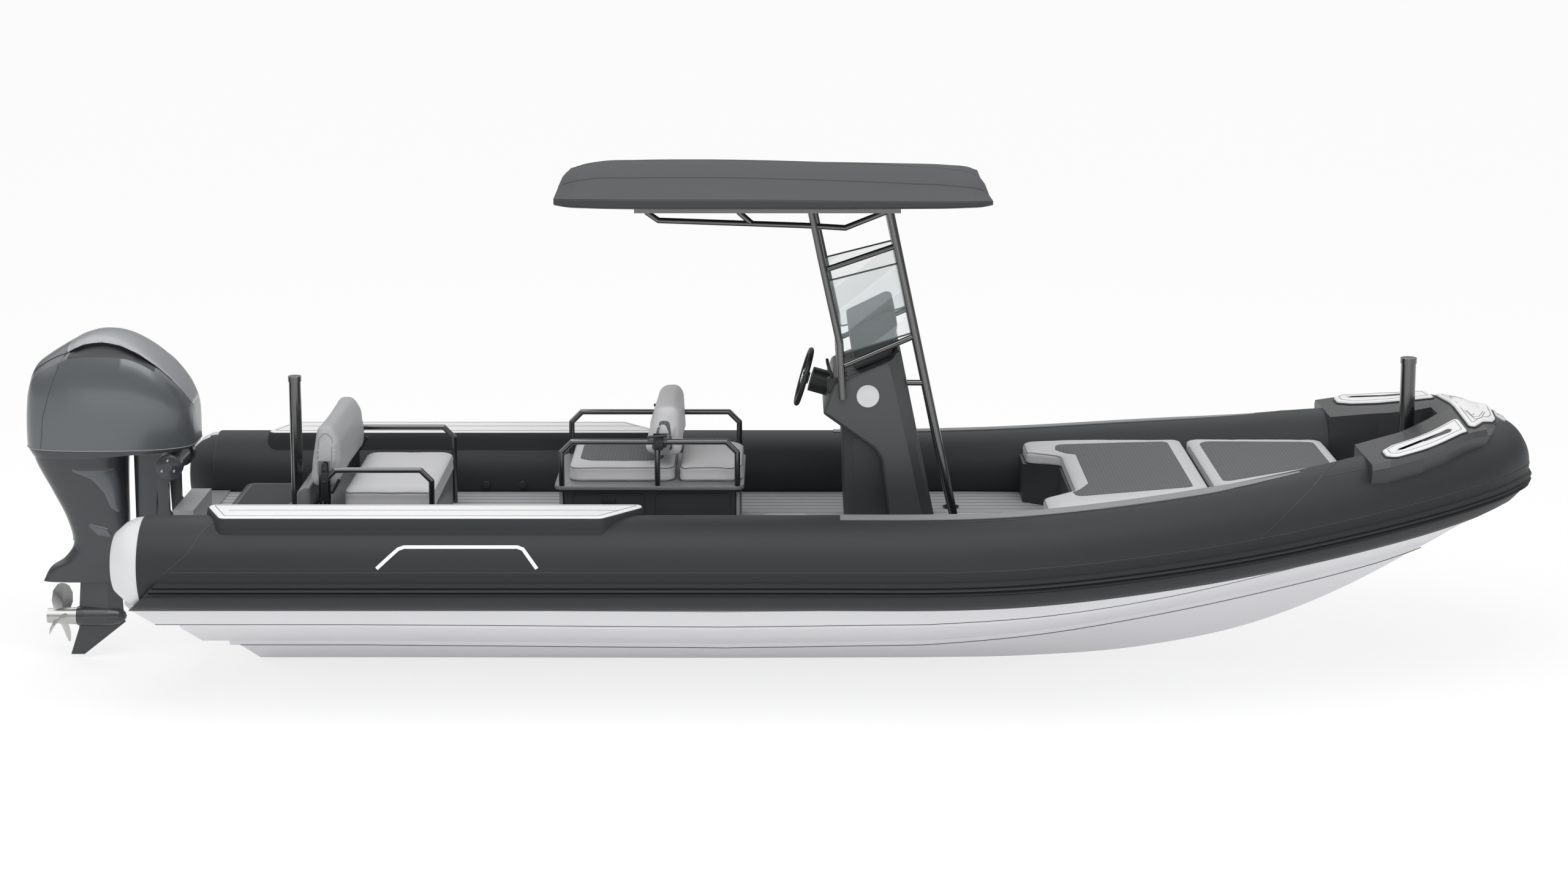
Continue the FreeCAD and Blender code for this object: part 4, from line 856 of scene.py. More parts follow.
def stuff(piece, cell=0.009):
    """Swell a cushion in its cover by a short cloth run with pressure inside"""
    modify(piece, "REMESH", mode="VOXEL", voxel_size=cell)
    count = len(piece.data.vertices)
    rest = np.empty(count * 3)
    piece.data.vertices.foreach_get("co", rest)
    cover = piece.modifiers.new("cover", "CLOTH")
    cover.settings.quality = 4
    cover.settings.mass = 0.3
    cover.settings.tension_stiffness = 25
    cover.settings.compression_stiffness = 25
    cover.settings.bending_stiffness = 1.5
    cover.settings.use_pressure = True
    cover.settings.uniform_pressure_force = 4.0
    cover.settings.effector_weights.gravity = 0.0
    cover.point_cache.frame_start = 1
    cover.point_cache.frame_end = 20
    for moment in range(1, 21):
        scene.frame_set(moment)
    pick(piece)
    bpy.ops.object.modifier_apply(modifier=cover.name)
    scene.frame_set(1)
    swollen = np.empty(count * 3)
    piece.data.vertices.foreach_get("co", swollen)
    rest = rest.reshape(-1, 3)
    shift = swollen.reshape(-1, 3) - rest
    length = np.linalg.norm(shift, axis=1)
    shift *= np.minimum(1.0, SWELL / np.maximum(length, 1e-9))[:, None]
    piece.data.vertices.foreach_set("co", (rest + shift).ravel())
    piece.data.update()
    modify(piece, "SMOOTH", factor=0.5, iterations=4)
    modify(piece, "SUBSURF", levels=1, render_levels=1)
    return shade(piece, 80)


def cushion(name, corners, low, high, radius=0.05, axes="xyz", edge=0.022, crown=0.010, both=False,
            shape=None):
    """A closed cushion on a rounded outline: crowned, with soft edges and drawn-in sides"""
    middle = 0.5 * (low + high)
    top = high - crown
    upper = [(0.0, top - edge), (0.3 * edge, top - 0.3 * edge), (edge, top),
             (edge + 0.025, top + 0.45 * crown), (edge + 0.06, top + 0.8 * crown), (0.125, high)]
    if both:
        base = low + crown
        lower = [(0.125, low), (edge + 0.06, base - 0.8 * crown), (edge + 0.025, base - 0.45 * crown),
                 (edge, base), (0.3 * edge, base + 0.3 * edge), (0.0, base + edge)]
    else:
        lower = [(0.125, low), (0.01, low), (0.002, low + 0.004), (0.0, low + 0.012)]
    piece = stack(name, corners, lower + [(0.004, middle)] + upper, radius, axes, 5, 8, shape)
    return stuff(piece)


pale_vinyl = finish("pale_vinyl", shades(198, 198, 200), 0.5, cloud=0.03, fine=1300.0, bump=0.25)
dark_vinyl = finish("dark_vinyl", shades(88, 89, 91), 0.7, cloud=0.22, coarse=40.0, fine=1300.0, bump=0.5,
                    gloss=0.25)
dark_axes = place_axes(dark_vinyl)
dark_tree = dark_vinyl.node_tree
ribs = add_math(dark_tree, "ABSOLUTE",
                add_math(dark_tree, "SINE", add_math(dark_tree, "MULTIPLY", dark_axes[1], 160.0)))
rows = add_math(dark_tree, "ABSOLUTE",
                add_math(dark_tree, "SINE", add_math(dark_tree, "MULTIPLY", dark_axes[0], 160.0)))
weave = add_math(dark_tree, "MULTIPLY", ribs, rows)
raise_where(dark_vinyl, weave, 1.2)
tint_where(dark_vinyl, add_math(dark_tree, "MULTIPLY", weave, 0.28), shades(140, 141, 143))
stitch_ink = finish("stitching", shades(120, 121, 123), 0.7, cloud=0.04)
INLAY = ((0.02, -0.006), (0.0, -0.004), (0.0, 0.0004), (0.003, 0.0018), (0.012, 0.0024), (0.05, 0.0026))

LOUNGE_LEVELS = [(1.730, 0.607), (2.000, 0.628), (2.540, 0.655), (3.480, 0.727)]
LOUNGE_THICK = 0.076
collar_cover = cover_of([side_tube, bow_tube])


def lounge_level(x):
    """The height of the lounge's top at one x"""
    return np.interp(x, [place for place, height in LOUNGE_LEVELS],
                     [height for place, height in LOUNGE_LEVELS])


def beside_collar(x, height, gap=0.02):
    """How far out a cushion may reach at one x and height, clear of the collar"""
    hit = collar_cover.ray_cast(Vector((x, 0, height)), Vector((0, -1, 0)))[0]
    return -hit.y - gap


def on_lounge(rings):
    """Set a flat form on the lounge's slope and narrow it downwards beside the collar"""
    shaped = rings.copy()
    for ring in shaped:
        for point in ring:
            depth = point[2]
            point[2] = lounge_level(point[0]) - LOUNGE_THICK + depth
            top_reach = beside_collar(point[0], lounge_level(point[0]))
            here_reach = beside_collar(point[0], point[2])
            share_out = min(abs(point[1]) / max(top_reach, 0.01), 1.0)
            point[1] *= 1 + (min(here_reach, top_reach) / top_reach - 1) * share_out ** 3
    return shaped


def lounge_side(places):
    """Corners along the collar's starboard side of the lounge, then back along port"""
    near = [(x, -beside_collar(x, float(lounge_level(x)))) for x in places]
    return near, [(x, -y) for x, y in reversed(near)]


near, far = lounge_side((1.745, 2.2, 2.45, 2.678))
arms = near + far + [(1.745, 0.585), (1.932, 0.436), (1.932, -0.436), (1.745, -0.585)]
arm_radii = [0.05, 0.4, 0.4, 0.03, 0.03, 0.4, 0.4, 0.05, 0.05, 0.07, 0.07, 0.05]
lounge_aft = cushion("lounge_aft", arms, 0.0, LOUNGE_THICK, arm_radii, shape=on_lounge)
near, far = lounge_side((2.692, 2.95, 3.2, 3.465))
front_plan = near + far
front_radii = [0.03, 0.4, 0.4, 0.07, 0.07, 0.4, 0.4, 0.03]
lounge_front = cushion("lounge_front", front_plan, 0.0, LOUNGE_THICK, front_radii, shape=on_lounge)
inlay_aft = [(1.93, -0.665), (2.58, -0.585), (2.58, 0.585), (1.93, 0.665), (1.915, 0.545), (2.02, 0.37),
             (2.02, -0.37), (1.915, -0.545)]
inlay_front = [(2.755, -0.525), (3.39, -0.285), (3.39, 0.285), (2.755, 0.525)]
lounge_inlays = []
lounge_welts = []
for seat, plan, radii, inlay in ((lounge_aft, arms, arm_radii, inlay_aft),
                                 (lounge_front, front_plan, front_radii, inlay_front)):
    lounge_inlays.append(laid("lounge_inlay", inlay, 0.045, seat, INLAY, per_edge=14))
    lounge_welts.append(traced("lounge_welt", loop(plan, radii, 0.012, 5, 8), seat, 0.004))
    attach(seat, pale_vinyl,
           stands_for=("lounge_cushion_aft",) if seat is lounge_aft else ("lounge_cushion_front",))
attach(join("lounge_inlays", lounge_inlays), dark_vinyl)
attach(join("lounge_piping", lounge_welts), stitch_ink)
keep("lounge_locker", dark_gelcoat)

# The helm seat is a moulded box with a plate on top, two loose cushions and a hinged
# backrest between two side rails.
base_low, base_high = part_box("helm_base")
helm_box = slab("helm_box", box_corners(base_low.x, base_low.y, base_high.x, base_high.y), base_low.z,
                base_high.z, 0.05, 0.008, per_edge=4)
attach(helm_box, dark_gelcoat, stands_for=("helm_base",))
plate_low, plate_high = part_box("helm_plate")
plate_grey = finish("plate_gelcoat", shades(112, 113, 115), 0.4, coat=0.1, cloud=0.04)
helm_shelf = slab("helm_shelf", box_corners(plate_low.x, plate_low.y, plate_high.x, plate_high.y),
                  plate_low.z, plate_high.z, 0.06, 0.008, per_edge=4)
attach(helm_shelf, plate_grey, stands_for=("helm_plate",))
corner_strips = []
for side in (-1, 1):
    for x in (base_low.x + 0.012, base_high.x - 0.012):
        corner_strips.append(slab("corner_strip",
                                  box_corners(x - 0.010, side * 0.376 - 0.006, x + 0.010, side * 0.376
                                              + 0.006), base_low.z + 0.03, base_high.z - 0.02, 0.004, 0.002))
attach(join("helm_corner_strips", corner_strips), trim_grey)
black_trim = finish("black_trim", shades(34, 35, 37), 0.45, cloud=0.08)
door_line = traced("helm_door_line", loop(box_corners(-0.86, 0.33, -0.46, 0.58), 0.03, 0.0, 4, 6), helm_box,
                   0.0022, view="port")
second_line = traced("helm_second_line", loop(box_corners(-0.40, 0.33, 0.02, 0.58), 0.03, 0.0, 4, 6),
                     helm_box, 0.0022, view="port")
latch = slab("helm_latch", box_corners(-0.70, 0.52, -0.62, 0.55), base_low.y - 0.008, base_low.y + 0.004,
             0.006, 0.002, "xzy")
attach(join("helm_door_lines", [door_line, second_line, latch]), black_trim)

helm_aft_plan = box_corners(-0.893, -0.325, -0.284, 0.325)
helm_front_plan = box_corners(-0.270, -0.325, 0.095, 0.325)
seat_low, seat_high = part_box("helm_cushion_aft")
helm_aft = cushion("helm_seat_aft", helm_aft_plan, seat_low.z, seat_high.z, 0.07)
helm_front = cushion("helm_seat_front", helm_front_plan, seat_low.z, seat_high.z, [0.04, 0.09, 0.09, 0.04])
helm_welts = []
for seat, plan, radii, node in ((helm_aft, helm_aft_plan, 0.07, "helm_cushion_aft"),
                                (helm_front, helm_front_plan, [0.04, 0.09, 0.09, 0.04],
                                 "helm_cushion_front")):
    helm_welts.append(traced("seat_welt", loop(plan, radii, 0.012, 5, 8), seat, 0.004))
    attach(seat, pale_vinyl, stands_for=(node,))
helm_inlay = laid("helm_inlay", box_corners(-0.83, -0.25, -0.36, 0.25), 0.09, helm_aft, INLAY, per_edge=10)
attach(helm_inlay, dark_vinyl)
attach(join("helm_piping", helm_welts), stitch_ink)


def narrowed(low, high, half_low, half_high):
    """A shaping that narrows a backrest from its foot to its top"""
    def shape(rings):
        shaped = rings.copy()
        share_up = np.clip((shaped[:, :, 2] - low) / (high - low), 0, 1)
        shaped[:, :, 1] *= (half_low + (half_high - half_low) * share_up) / half_low
        return shaped
    return shape


back_side = [(-0.462, 0.800), (-0.380, 1.066), (-0.292, 1.068), (-0.266, 1.030), (-0.254, 0.784),
             (-0.380, 0.780)]
helm_back = cushion("helm_back", back_side, -0.36, 0.36, [0.03, 0.05, 0.04, 0.10, 0.03, 0.05], "xzy",
                    edge=0.03, crown=0.012, both=True, shape=narrowed(0.80, 1.07, 0.36, 0.345))
attach(helm_back, pale_vinyl, "helm_backrest", ("helm_backrest",))
arch = laid("back_arch", [(-0.425, 0.815), (-0.372, 0.985), (-0.318, 0.985), (-0.300, 0.815)], 0.022,
            helm_back, ((0.012, -0.006), (0.0, -0.004), (0.0, 0.0005), (0.003, 0.0012), (0.012, 0.0012)),
            view="port", per_edge=4)
attach_both(arch, dark_vinyl, "helm_backrest")
black_coat = finish("black_powder_coat", shades(24, 25, 27), 0.20, coat=1.0, cloud=0.08, fine=900.0,
                    bump=0.03, gloss=1.0)
keep("helm_rails", black_coat)
pivots = []
for side in (-1, 1):
    pivots.append(slab("back_hinge", box_corners(-0.372, 0.835, -0.318, 0.888), side * 0.39 - 0.012,
                       side * 0.39 + 0.008, 0.012, 0.003, "xzy"))
    pivots.append(turned("hinge_bolt", [(-0.03, 0), (-0.03, 0.014), (0.018, 0.014), (0.02, 0.010), (0.02, 0)],
                         (-0.345, side * 0.40, 0.862), (0, side, 0), 20))
attach(join("helm_back_hinges", pivots), black_trim, "helm_backrest")

# The aft bench is a moulded locker with a seat cushion and a folding backrest, which
# turns on plates bolted to its side rails.
bench_low, bench_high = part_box("bench_base")
bench_box = slab("bench_box", box_corners(bench_low.x, bench_low.y, bench_high.x, bench_high.y), bench_low.z,
                 bench_high.z, 0.06, 0.010, per_edge=4)
attach(bench_box, plate_grey, stands_for=("bench_base",))
bench_plan = box_corners(-2.13, -0.5, -1.61, 0.5)
bench_low, bench_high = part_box("bench_cushion")
bench_seat = cushion("bench_seat", bench_plan, bench_low.z, bench_high.z, 0.06)
attach(bench_seat, pale_vinyl, stands_for=("bench_cushion",))
bench_welt = traced("bench_welt", loop(bench_plan, 0.06, 0.012, 5, 8), bench_seat, 0.004)
attach(bench_welt, stitch_ink)
bench_side = [(-2.300, 0.644), (-2.292, 0.786), (-2.270, 0.975), (-2.190, 0.980), (-2.152, 0.899),
              (-2.143, 0.757), (-2.156, 0.640)]
bench_back = cushion("bench_back", bench_side, -0.54, 0.54, [0.04, 0.3, 0.035, 0.05, 0.15, 0.3, 0.04], "xzy",
                     edge=0.03, crown=0.012, both=True, shape=narrowed(0.64, 0.98, 0.54, 0.44))
back_grey = finish("back_vinyl", shades(160, 161, 163), 0.5, cloud=0.04, fine=1300.0, bump=0.25)
attach(bench_back, back_grey, "bench_backrest", ("bench_backrest",))
petal = [(-2.262, 0.70), (-2.262, 0.90), (-2.225, 0.945), (-2.186, 0.90), (-2.186, 0.70)]
petal_line = traced("petal_line", loop(petal, 0.03, 0.0, 4, 3), bench_back, 0.0025, view="port")
attach_both(petal_line, stitch_ink, "bench_backrest")
hinge_parts = []
for side in (-1, 1):
    hinge_parts.append(slab("hinge_plate", [(-2.236, 0.585), (-2.192, 0.585), (-2.195, 0.80), (-2.228, 0.80)],
                            side * 0.588 - 0.005, side * 0.588 + 0.005, [0.006, 0.006, 0.015, 0.015], 0.002,
                            "xzy"))
    for height in (0.692, 0.762):
        hinge_parts.append(turned("plate_bolt",
                                  [(-0.004, 0.0), (-0.004, 0.011), (0.006, 0.011), (0.008, 0.008),
                                   (0.008, 0.0)], (-2.214, side * 0.592, height), (0, side, 0), 16))
attach(join("bench_hinge_plates", hinge_parts), black_trim)
arms = [tube("back_arm", [(-2.222, side * 0.553, 0.640), (-2.175, side * 0.553, 0.626),
                          (-2.135, side * 0.553, 0.70)], 0.010) for side in (-1, 1)]
attach(join("bench_back_arms", arms), black_trim, "bench_backrest")
fairing_side = [(-2.395, 0.305), (-2.388, 0.610), (-2.345, 0.634), (-2.312, 0.634), (-2.306, 0.305)]
fairing = slab("bench_fairing", fairing_side, -0.47, 0.47, [0.02, 0.03, 0.02, 0.01, 0.02], 0.012, "xzy")
attach(fairing, plate_grey)
keep("bench_rails", black_coat)

# The bow moulding caps the collar's front end. White pads of foam are glued on it, two
# at the sides and one over the nose, with a plate for the anchor line ahead of them.
keep("bow_moulding", dark_gelcoat)
keep("bow_post", black_coat)
keep("tow_post", black_coat)
PAD_LIFTS = ((0.02, -0.004), (0.0, -0.004), (0.0, 0.012), (0.003, 0.017), (0.010, 0.0195), (0.04, 0.0205),
             (0.075, 0.0205), (0.10, 0.0205))
BASE_LIFTS = ((0.02, -0.003), (-0.008, -0.003), (-0.008, 0.005), (-0.004, 0.008), (0.02, 0.008))


def beside_centre(x, reach):
    """A place on the bow moulding, some way out from the collar's centre line"""
    return (x, -abs(collar_at(x)[0][1]) - reach)


side_pad_plan = [beside_centre(3.595, 0.06), beside_centre(3.66, 0.005), beside_centre(3.90, -0.01),
                 beside_centre(4.085, -0.03), beside_centre(4.085, 0.215), beside_centre(3.86, 0.243),
                 beside_centre(3.64, 0.243), beside_centre(3.595, 0.17)]
side_pad_radii = [0.03, 0.05, 0.6, 0.02, 0.02, 0.6, 0.04, 0.03]
nose_pad_plan = [(4.12, -0.49), (4.225, -0.315), (4.30, -0.215), (4.335, -0.14), (4.335, 0.14), (4.30, 0.215),
                 (4.225, 0.315), (4.12, 0.49)]
nose_pad_radii = [0.02, 0.1, 0.1, 0.05, 0.05, 0.1, 0.1, 0.02]
moulding = nodes["bow_moulding"]
side_base = laid("bow_pad_base_starboard", side_pad_plan, side_pad_radii, moulding, BASE_LIFTS)
side_pad = laid("bow_pad_starboard", side_pad_plan, side_pad_radii, moulding, PAD_LIFTS)
nose_base = laid("bow_pad_base_nose", nose_pad_plan, nose_pad_radii, moulding, BASE_LIFTS)
nose_pad = laid("bow_pad_nose", nose_pad_plan, nose_pad_radii, moulding,
                tuple(pair for pair in PAD_LIFTS if pair[0] < 0.08))
# The long slot and the grooves on the pads are thin dark pieces laid on the foam: painted shade in these
# hollows.
slot_plan = [beside_centre(3.72, 0.140), beside_centre(3.99, 0.085), beside_centre(4.01, 0.125),
             beside_centre(3.99, 0.155)]
side_slot = laid("bow_pad_slot", slot_plan, 0.012, side_pad,
                 ((0.002, -0.004), (0.0, -0.004), (0.0, 0.0008), (0.003, 0.001)))
side_loop = traced("bow_pad_loop", loop(side_pad_plan, side_pad_radii, 0.026, 4, 5), side_pad, 0.002)
side_slot = join("bow_pad_slot", [side_slot, side_loop])
nose_loop = traced("nose_loop", loop(nose_pad_plan, nose_pad_radii, 0.024, 4, 5), nose_pad, 0.002)
nose_arcs = [nose_loop]
for side in (-1, 1):
    for reach in (0.0, 0.035):
        nose_arcs.append(traced("nose_groove",
                                run_along([(4.155 + 0.3 * reach, side * 0.17), (4.175, side * (0.33 - reach)),
                                           (4.215, side * (0.30 - reach)),
                                           (4.275 - 0.3 * reach, side * 0.14)], 0.02), nose_pad, 0.002,
                                closed=False))
nose_arc = join("nose_grooves", nose_arcs)
bow_bases = join("bow_pad_bases", [side_base, twin(side_base, "bow_pad_base_port"), nose_base])
attach(bow_bases, pad_rubber, stands_for=("bow_pads",))
for pad in (side_pad, twin(side_pad, "bow_pad_port"), nose_pad):
    attach(pad, pad_white, stands_for=("bow_pads",))
attach(join("bow_pad_lines", [side_slot, twin(side_slot, "bow_pad_slot_port"), nose_arc]), groove_shade)
stem_plate = laid("stem_plate", box_corners(4.352, -0.07, 4.425, 0.07), 0.015, moulding,
                  ((0.006, -0.003), (0.0, -0.003), (0.0, 0.006), (0.003, 0.009), (0.015, 0.010)))
attach(stem_plate, cap_paint)
well_latch = slab("well_latch", box_corners(3.545, -0.05, 3.585, 0.05), 0.600, 0.66, 0.008, 0.004)
attach(well_latch, black_trim)

# The helm console is a moulded shell that leans aft over a narrower pedestal. Lighter
# cheek panels, a dash with screens and switches and plain white discs are fitted to it.
console_paint = finish("console_gelcoat", shades(53, 55, 56), 0.42, coat=0.1, cloud=0.05, bump=0.05)
cheek_paint = finish("cheek_gelcoat", shades(65, 67, 68), 0.40, coat=0.12, cloud=0.05, bump=0.05)
recess_paint = finish("recess_gelcoat", shades(54, 57, 58), 0.5, cloud=0.06, bump=0.06)
shell_side = [(0.535, 1.041), (0.597, 1.207), (0.915, 1.344), (0.960, 1.425), (1.190, 0.300), (0.925, 0.300),
              (0.859, 0.775), (0.817, 0.839)]
shell = slab("console_shell", shell_side, -0.42, 0.42, [0.02, 0.03, 0.05, 0.02, 0.03, 0.03, 0.10, 0.08],
             0.014, "xzy", 5, 2)
pedestal_side = [(0.640, 0.990), (0.665, 0.300), (1.100, 0.300), (0.900, 1.080)]
pedestal = slab("console_pedestal", pedestal_side, -0.34, 0.34, 0.05, 0.02, "xzy", 5, 2)
cheek_side = [(0.549, 1.046), (0.604, 1.196), (0.902, 1.324), (0.945, 1.150), (1.012, 0.837), (1.085, 0.489),
              (1.120, 0.316), (0.936, 0.316), (0.871, 0.782), (0.826, 0.848)]
CHEEK = ((0.01, -0.004), (0.0, -0.003), (0.0, 0.0015), (0.003, 0.003), (0.01, 0.0032))
cheek_radii = [0.015, 0.02, 0.02, 0.5, 0.5, 0.5, 0.01, 0.01, 0.10, 0.08]
cheek = laid("cheek_panel", cheek_side, cheek_radii, shell, CHEEK, "port")
recess = laid("pedestal_recess", [(0.700, 0.90), (0.715, 0.42), (0.985, 0.42), (0.860, 0.90)], 0.06, pedestal,
              CHEEK, "port")
attach(shell, console_paint, stands_for=("console",))
attach(pedestal, recess_paint, stands_for=("console",))
attach_both(cheek, cheek_paint)
attach_both(recess, console_paint)
visor_side = [(0.715, 1.262), (0.676, 1.500), (0.905, 1.612), (0.938, 1.604), (0.950, 1.520), (0.925, 1.345)]
visor = slab("dash_visor", visor_side, -0.33, 0.33, [0.02, 0.02, 0.03, 0.02, 0.03, 0.02], 0.025, "xzy", 4, 2)
attach(visor, recess_paint)
disc_profile = [(-0.004, 0.0), (-0.004, 0.063), (0.004, 0.063), (0.006, 0.060), (0.004, 0.054),
                (0.0035, 0.030), (0.005, 0.010), (0.005, 0.0)]
disc = turned("console_disc_starboard", disc_profile, (0.785, -0.4235, 1.141), (0, -1, 0), 40)
attach_both(disc, cap_paint, stands_for=("console_discs",))
SCREEN = ((0.006, -0.004), (0.0, -0.003), (0.0, 0.004), (0.003, 0.006), (0.008, 0.006), (0.010, 0.004),
          (0.02, 0.004))
dash = laid("dash_panel", box_corners(0.625, -0.385, 0.900, 0.385), 0.03, shell, CHEEK)
screens = [laid("chart_screen", box_corners(0.70, -0.30, 0.87, -0.04), 0.012, shell, SCREEN),
           laid("engine_screen", box_corners(0.70, 0.04, 0.87, 0.30), 0.012, shell, SCREEN)]
screens.extend(turned("dash_gauge", [(-0.004, 0), (-0.004, 0.02), (0.006, 0.02), (0.008, 0.016), (0.006, 0)],
                      (0.655, y, 1.233), (-0.39, 0, 0.92), 20) for y in (-0.33, -0.25, 0.25, 0.33))
switches = [slab("switch", box_corners(0.641, y - 0.009, 0.665, y + 0.009), 1.222, 1.242, 0.004, 0.002)
            for y in (-0.16, -0.12, -0.08, 0.08, 0.12, 0.16)]
throttle_base = slab("throttle_base", box_corners(0.56, -0.40, 0.64, -0.33), 1.15, 1.235, 0.015, 0.006)
throttle_arm = tube("throttle_arm", [(0.60, -0.345, 1.20), (0.565, -0.345, 1.30), (0.56, -0.30, 1.325)],
                    0.009)
attach(dash, recess_paint)
attach(join("dash_instruments", screens), black_trim)
attach(join("dash_switches", switches), trim_grey)
attach(join("throttle_lever", [throttle_base, throttle_arm]), black_trim)

# The steering wheel has a padded rim, three flat steel spokes and a hub cap, and turns
# on a stepped pod on the console's aft face.
wheel_low, wheel_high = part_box("steering_wheel")
LEAN = math.radians(16)
RIM = 0.015
middle = Vector((0.433, 0.0, 1.170))
wheel_radius = (0.5 * (wheel_high.y - wheel_low.y)) - RIM
axle = Vector((-math.cos(LEAN), 0, math.sin(LEAN)))
rise = Vector((math.sin(LEAN), 0, math.cos(LEAN)))
bpy.ops.object.select_all(action="DESELECT")
bpy.ops.mesh.primitive_torus_add(major_radius=wheel_radius, minor_radius=RIM, major_segments=64,
                                 minor_segments=14, location=middle, rotation=(0, -math.pi / 2 + LEAN, 0))
rim = bpy.context.object
bpy.ops.object.transform_apply(location=True, rotation=True, scale=True)
rim.name = "wheel_rim"
shade(rim, 60)
attach(rim, black_trim, "steering_wheel", ("steering_wheel",))
spokes = [turned("wheel_hub", [(-0.03, 0.0), (-0.03, 0.034), (0.004, 0.042), (0.012, 0.036), (0.014, 0.0)],
                 middle, axle, 32)]
for turn in (90, 210, 330):
    arm = rise * math.sin(math.radians(turn)) + Vector((0, 1, 0)) * math.cos(math.radians(turn))
    across_arm = arm.cross(axle)
    ring_places = []
    for reach, half, lift in ((0.03, 0.016, 0.006), (0.08, 0.011, -0.002),
                              (wheel_radius - 0.004, 0.009, 0.0)):
        spot = middle + arm * reach + axle * lift
        ring_places.append([tuple(spot + across_arm * a * half + axle * b * 0.003)
                            for a, b in ((-1, -1), (1, -1), (1, 1), (-1, 1))])
    spokes.append(skin("wheel_spoke", ring_places))
attach(shade(join("wheel_spokes", spokes)), steel, "steering_wheel")
keep("helm_pod", black_trim)

# The hardtop is a moulded roof on a frame of powder-coated tubes. It has a raised centre
# between two creases, a thin rim and small lamps let into its underside.
for node in ("frame_starboard", "frame_port", "roof_frame"):
    keep(node, black_coat)
roof_low, roof_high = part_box("hardtop")
roof_paint = finish("roof_gelcoat", shades(58, 59, 61), 0.55, coat=0.0, cloud=0.04, coarse=1.0, bump=0.04,
                    gloss=0.25)
ROOF_ROWS = [(0.00, 0.80, 0.45), (0.03, 0.90, 0.72), (0.08, 0.95, 0.92), (0.17, 0.99, 0.98),
             (0.35, 1.00, 1.00), (0.60, 1.00, 0.88), (0.80, 0.98, 0.70), (0.93, 0.94, 0.52),
             (0.98, 0.88, 0.34), (1.00, 0.80, 0.10)]
under = roof_low.z
crown = roof_high.z
along_roof = np.concatenate([np.linspace(0, 0.17, 14), np.linspace(0.2, 0.8, 13), np.linspace(0.83, 1.0, 14)])
roof_shares = fair([row[0] for row in ROOF_ROWS], [row[1:] for row in ROOF_ROWS], along_roof)
roof_rings = []
for share_along, (wide, tall) in zip(along_roof, np.clip(roof_shares, 0.05, 1.0)):
    x = roof_low.x + share_along * (roof_high.x - roof_low.x)
    half = roof_high.y * wide
    crease = 0.40 / 0.85 * half
    top = under + 0.024 + (crown - under - 0.024) * tall
    edge = under + 0.022 + 0.30 * max(top - under - 0.022, 0.0)
    right = [(half - 0.045, under), (half - 0.008, under + 0.010), (half - 0.002, under + 0.016),
             (half, edge - 0.004), (half - 0.006, edge + 0.003), (crease + 0.02, top - 0.0165),
             (crease, top - 0.012)]
    roof_rings.append([(x, -y, z) for y, z in right] + [(x, 0.0, top)]
                      + [(x, y, z) for y, z in reversed(right)])
roof = skin("roof_shell", roof_rings)
shade(roof, 14)
attach(roof, roof_paint, stands_for=("hardtop",))
# Thin dark lines along the two creases, along the rim and across near both ends are painted shade where the
# roof turns.
roof_lines = []
for column, thick in ((6, 0.0028), (4, 0.002)):
    for ring_side in (column, 14 - column):
        roof_lines.append(tube("roof_line", [ring[ring_side] for ring in roof_rings[1:-1]], thick, sides=1))
roof_ends = [tube("roof_end_line", [roof_rings[row][column] for column in range(4, 11)], 0.002, sides=1)
             for row in (3, -4)]
attach(join("roof_lines", roof_lines + roof_ends), shade_and_seam_ink)
lamps = [turned("roof_lamp", [(-0.01, 0.0), (-0.01, 0.036), (0.008, 0.036), (0.011, 0.030), (0.008, 0.026),
                              (0.007, 0.0)], (x, y, under), (0, 0, -1), 28) for x in (-0.73, 1.0)
         for y in (-0.5, 0.5)]
attach(join("roof_lamps", lamps), cap_paint)
speakers = [turned("roof_speaker", [(-0.01, 0.0), (-0.01, 0.07), (0.006, 0.07), (0.012, 0.055), (0.010, 0.0)],
                   (1.26, y, under), (0, 0, -1), 36) for y in (-0.5, 0.5)]
attach(join("roof_speakers", speakers), black_trim)

# The windscreen has a front pane and two side panes of toughened glass, which are held in
# dark rubber edging on the frame.
glass = finish("screen_glass", shades(198, 210, 211), 0.05, coat=0.6, cloud=0.03, coarse=1.0, bump=0.0)
glass_tree = glass.node_tree
glass_axes = place_axes(glass)
# Diagonal bands where the glass is less clear and paler are a painted reflection.
slant = add_math(glass_tree, "SUBTRACT", add_math(glass_tree, "MULTIPLY", glass_axes[0], 0.8), glass_axes[2])
reflection_band = add_math(glass_tree, "GREATER_THAN",
                  add_math(glass_tree, "FRACT", add_math(glass_tree, "MULTIPLY", slant, 3.1)), 0.55)
clearness = glass_tree.nodes.new("ShaderNodeMapRange")
clearness.inputs["To Min"].default_value = 0.12
clearness.inputs["To Max"].default_value = 0.20
glass_tree.links.new(reflection_band, clearness.inputs["Value"])
glass_tree.links.new(clearness.outputs["Result"], glass_tree.nodes["Principled BSDF"].inputs["Alpha"])
keep("windscreen", glass)
pane = [(0.550, 1.790), (0.962, 1.895), (1.040, 1.500), (0.640, 1.375)]
edgings = []
for side in (-1, 1):
    edgings.append(tube("pane_edging", [(x, side * 0.429, z) for x, z in loop(pane, 0.03, 0.003, 4, 2)],
                        0.005, cyclic=True, sides=2))
glass_rubber = finish("glass_edging", shades(70, 80, 78), 0.5, cloud=0.05)
attach(join("windscreen_edging", edgings), glass_rubber)

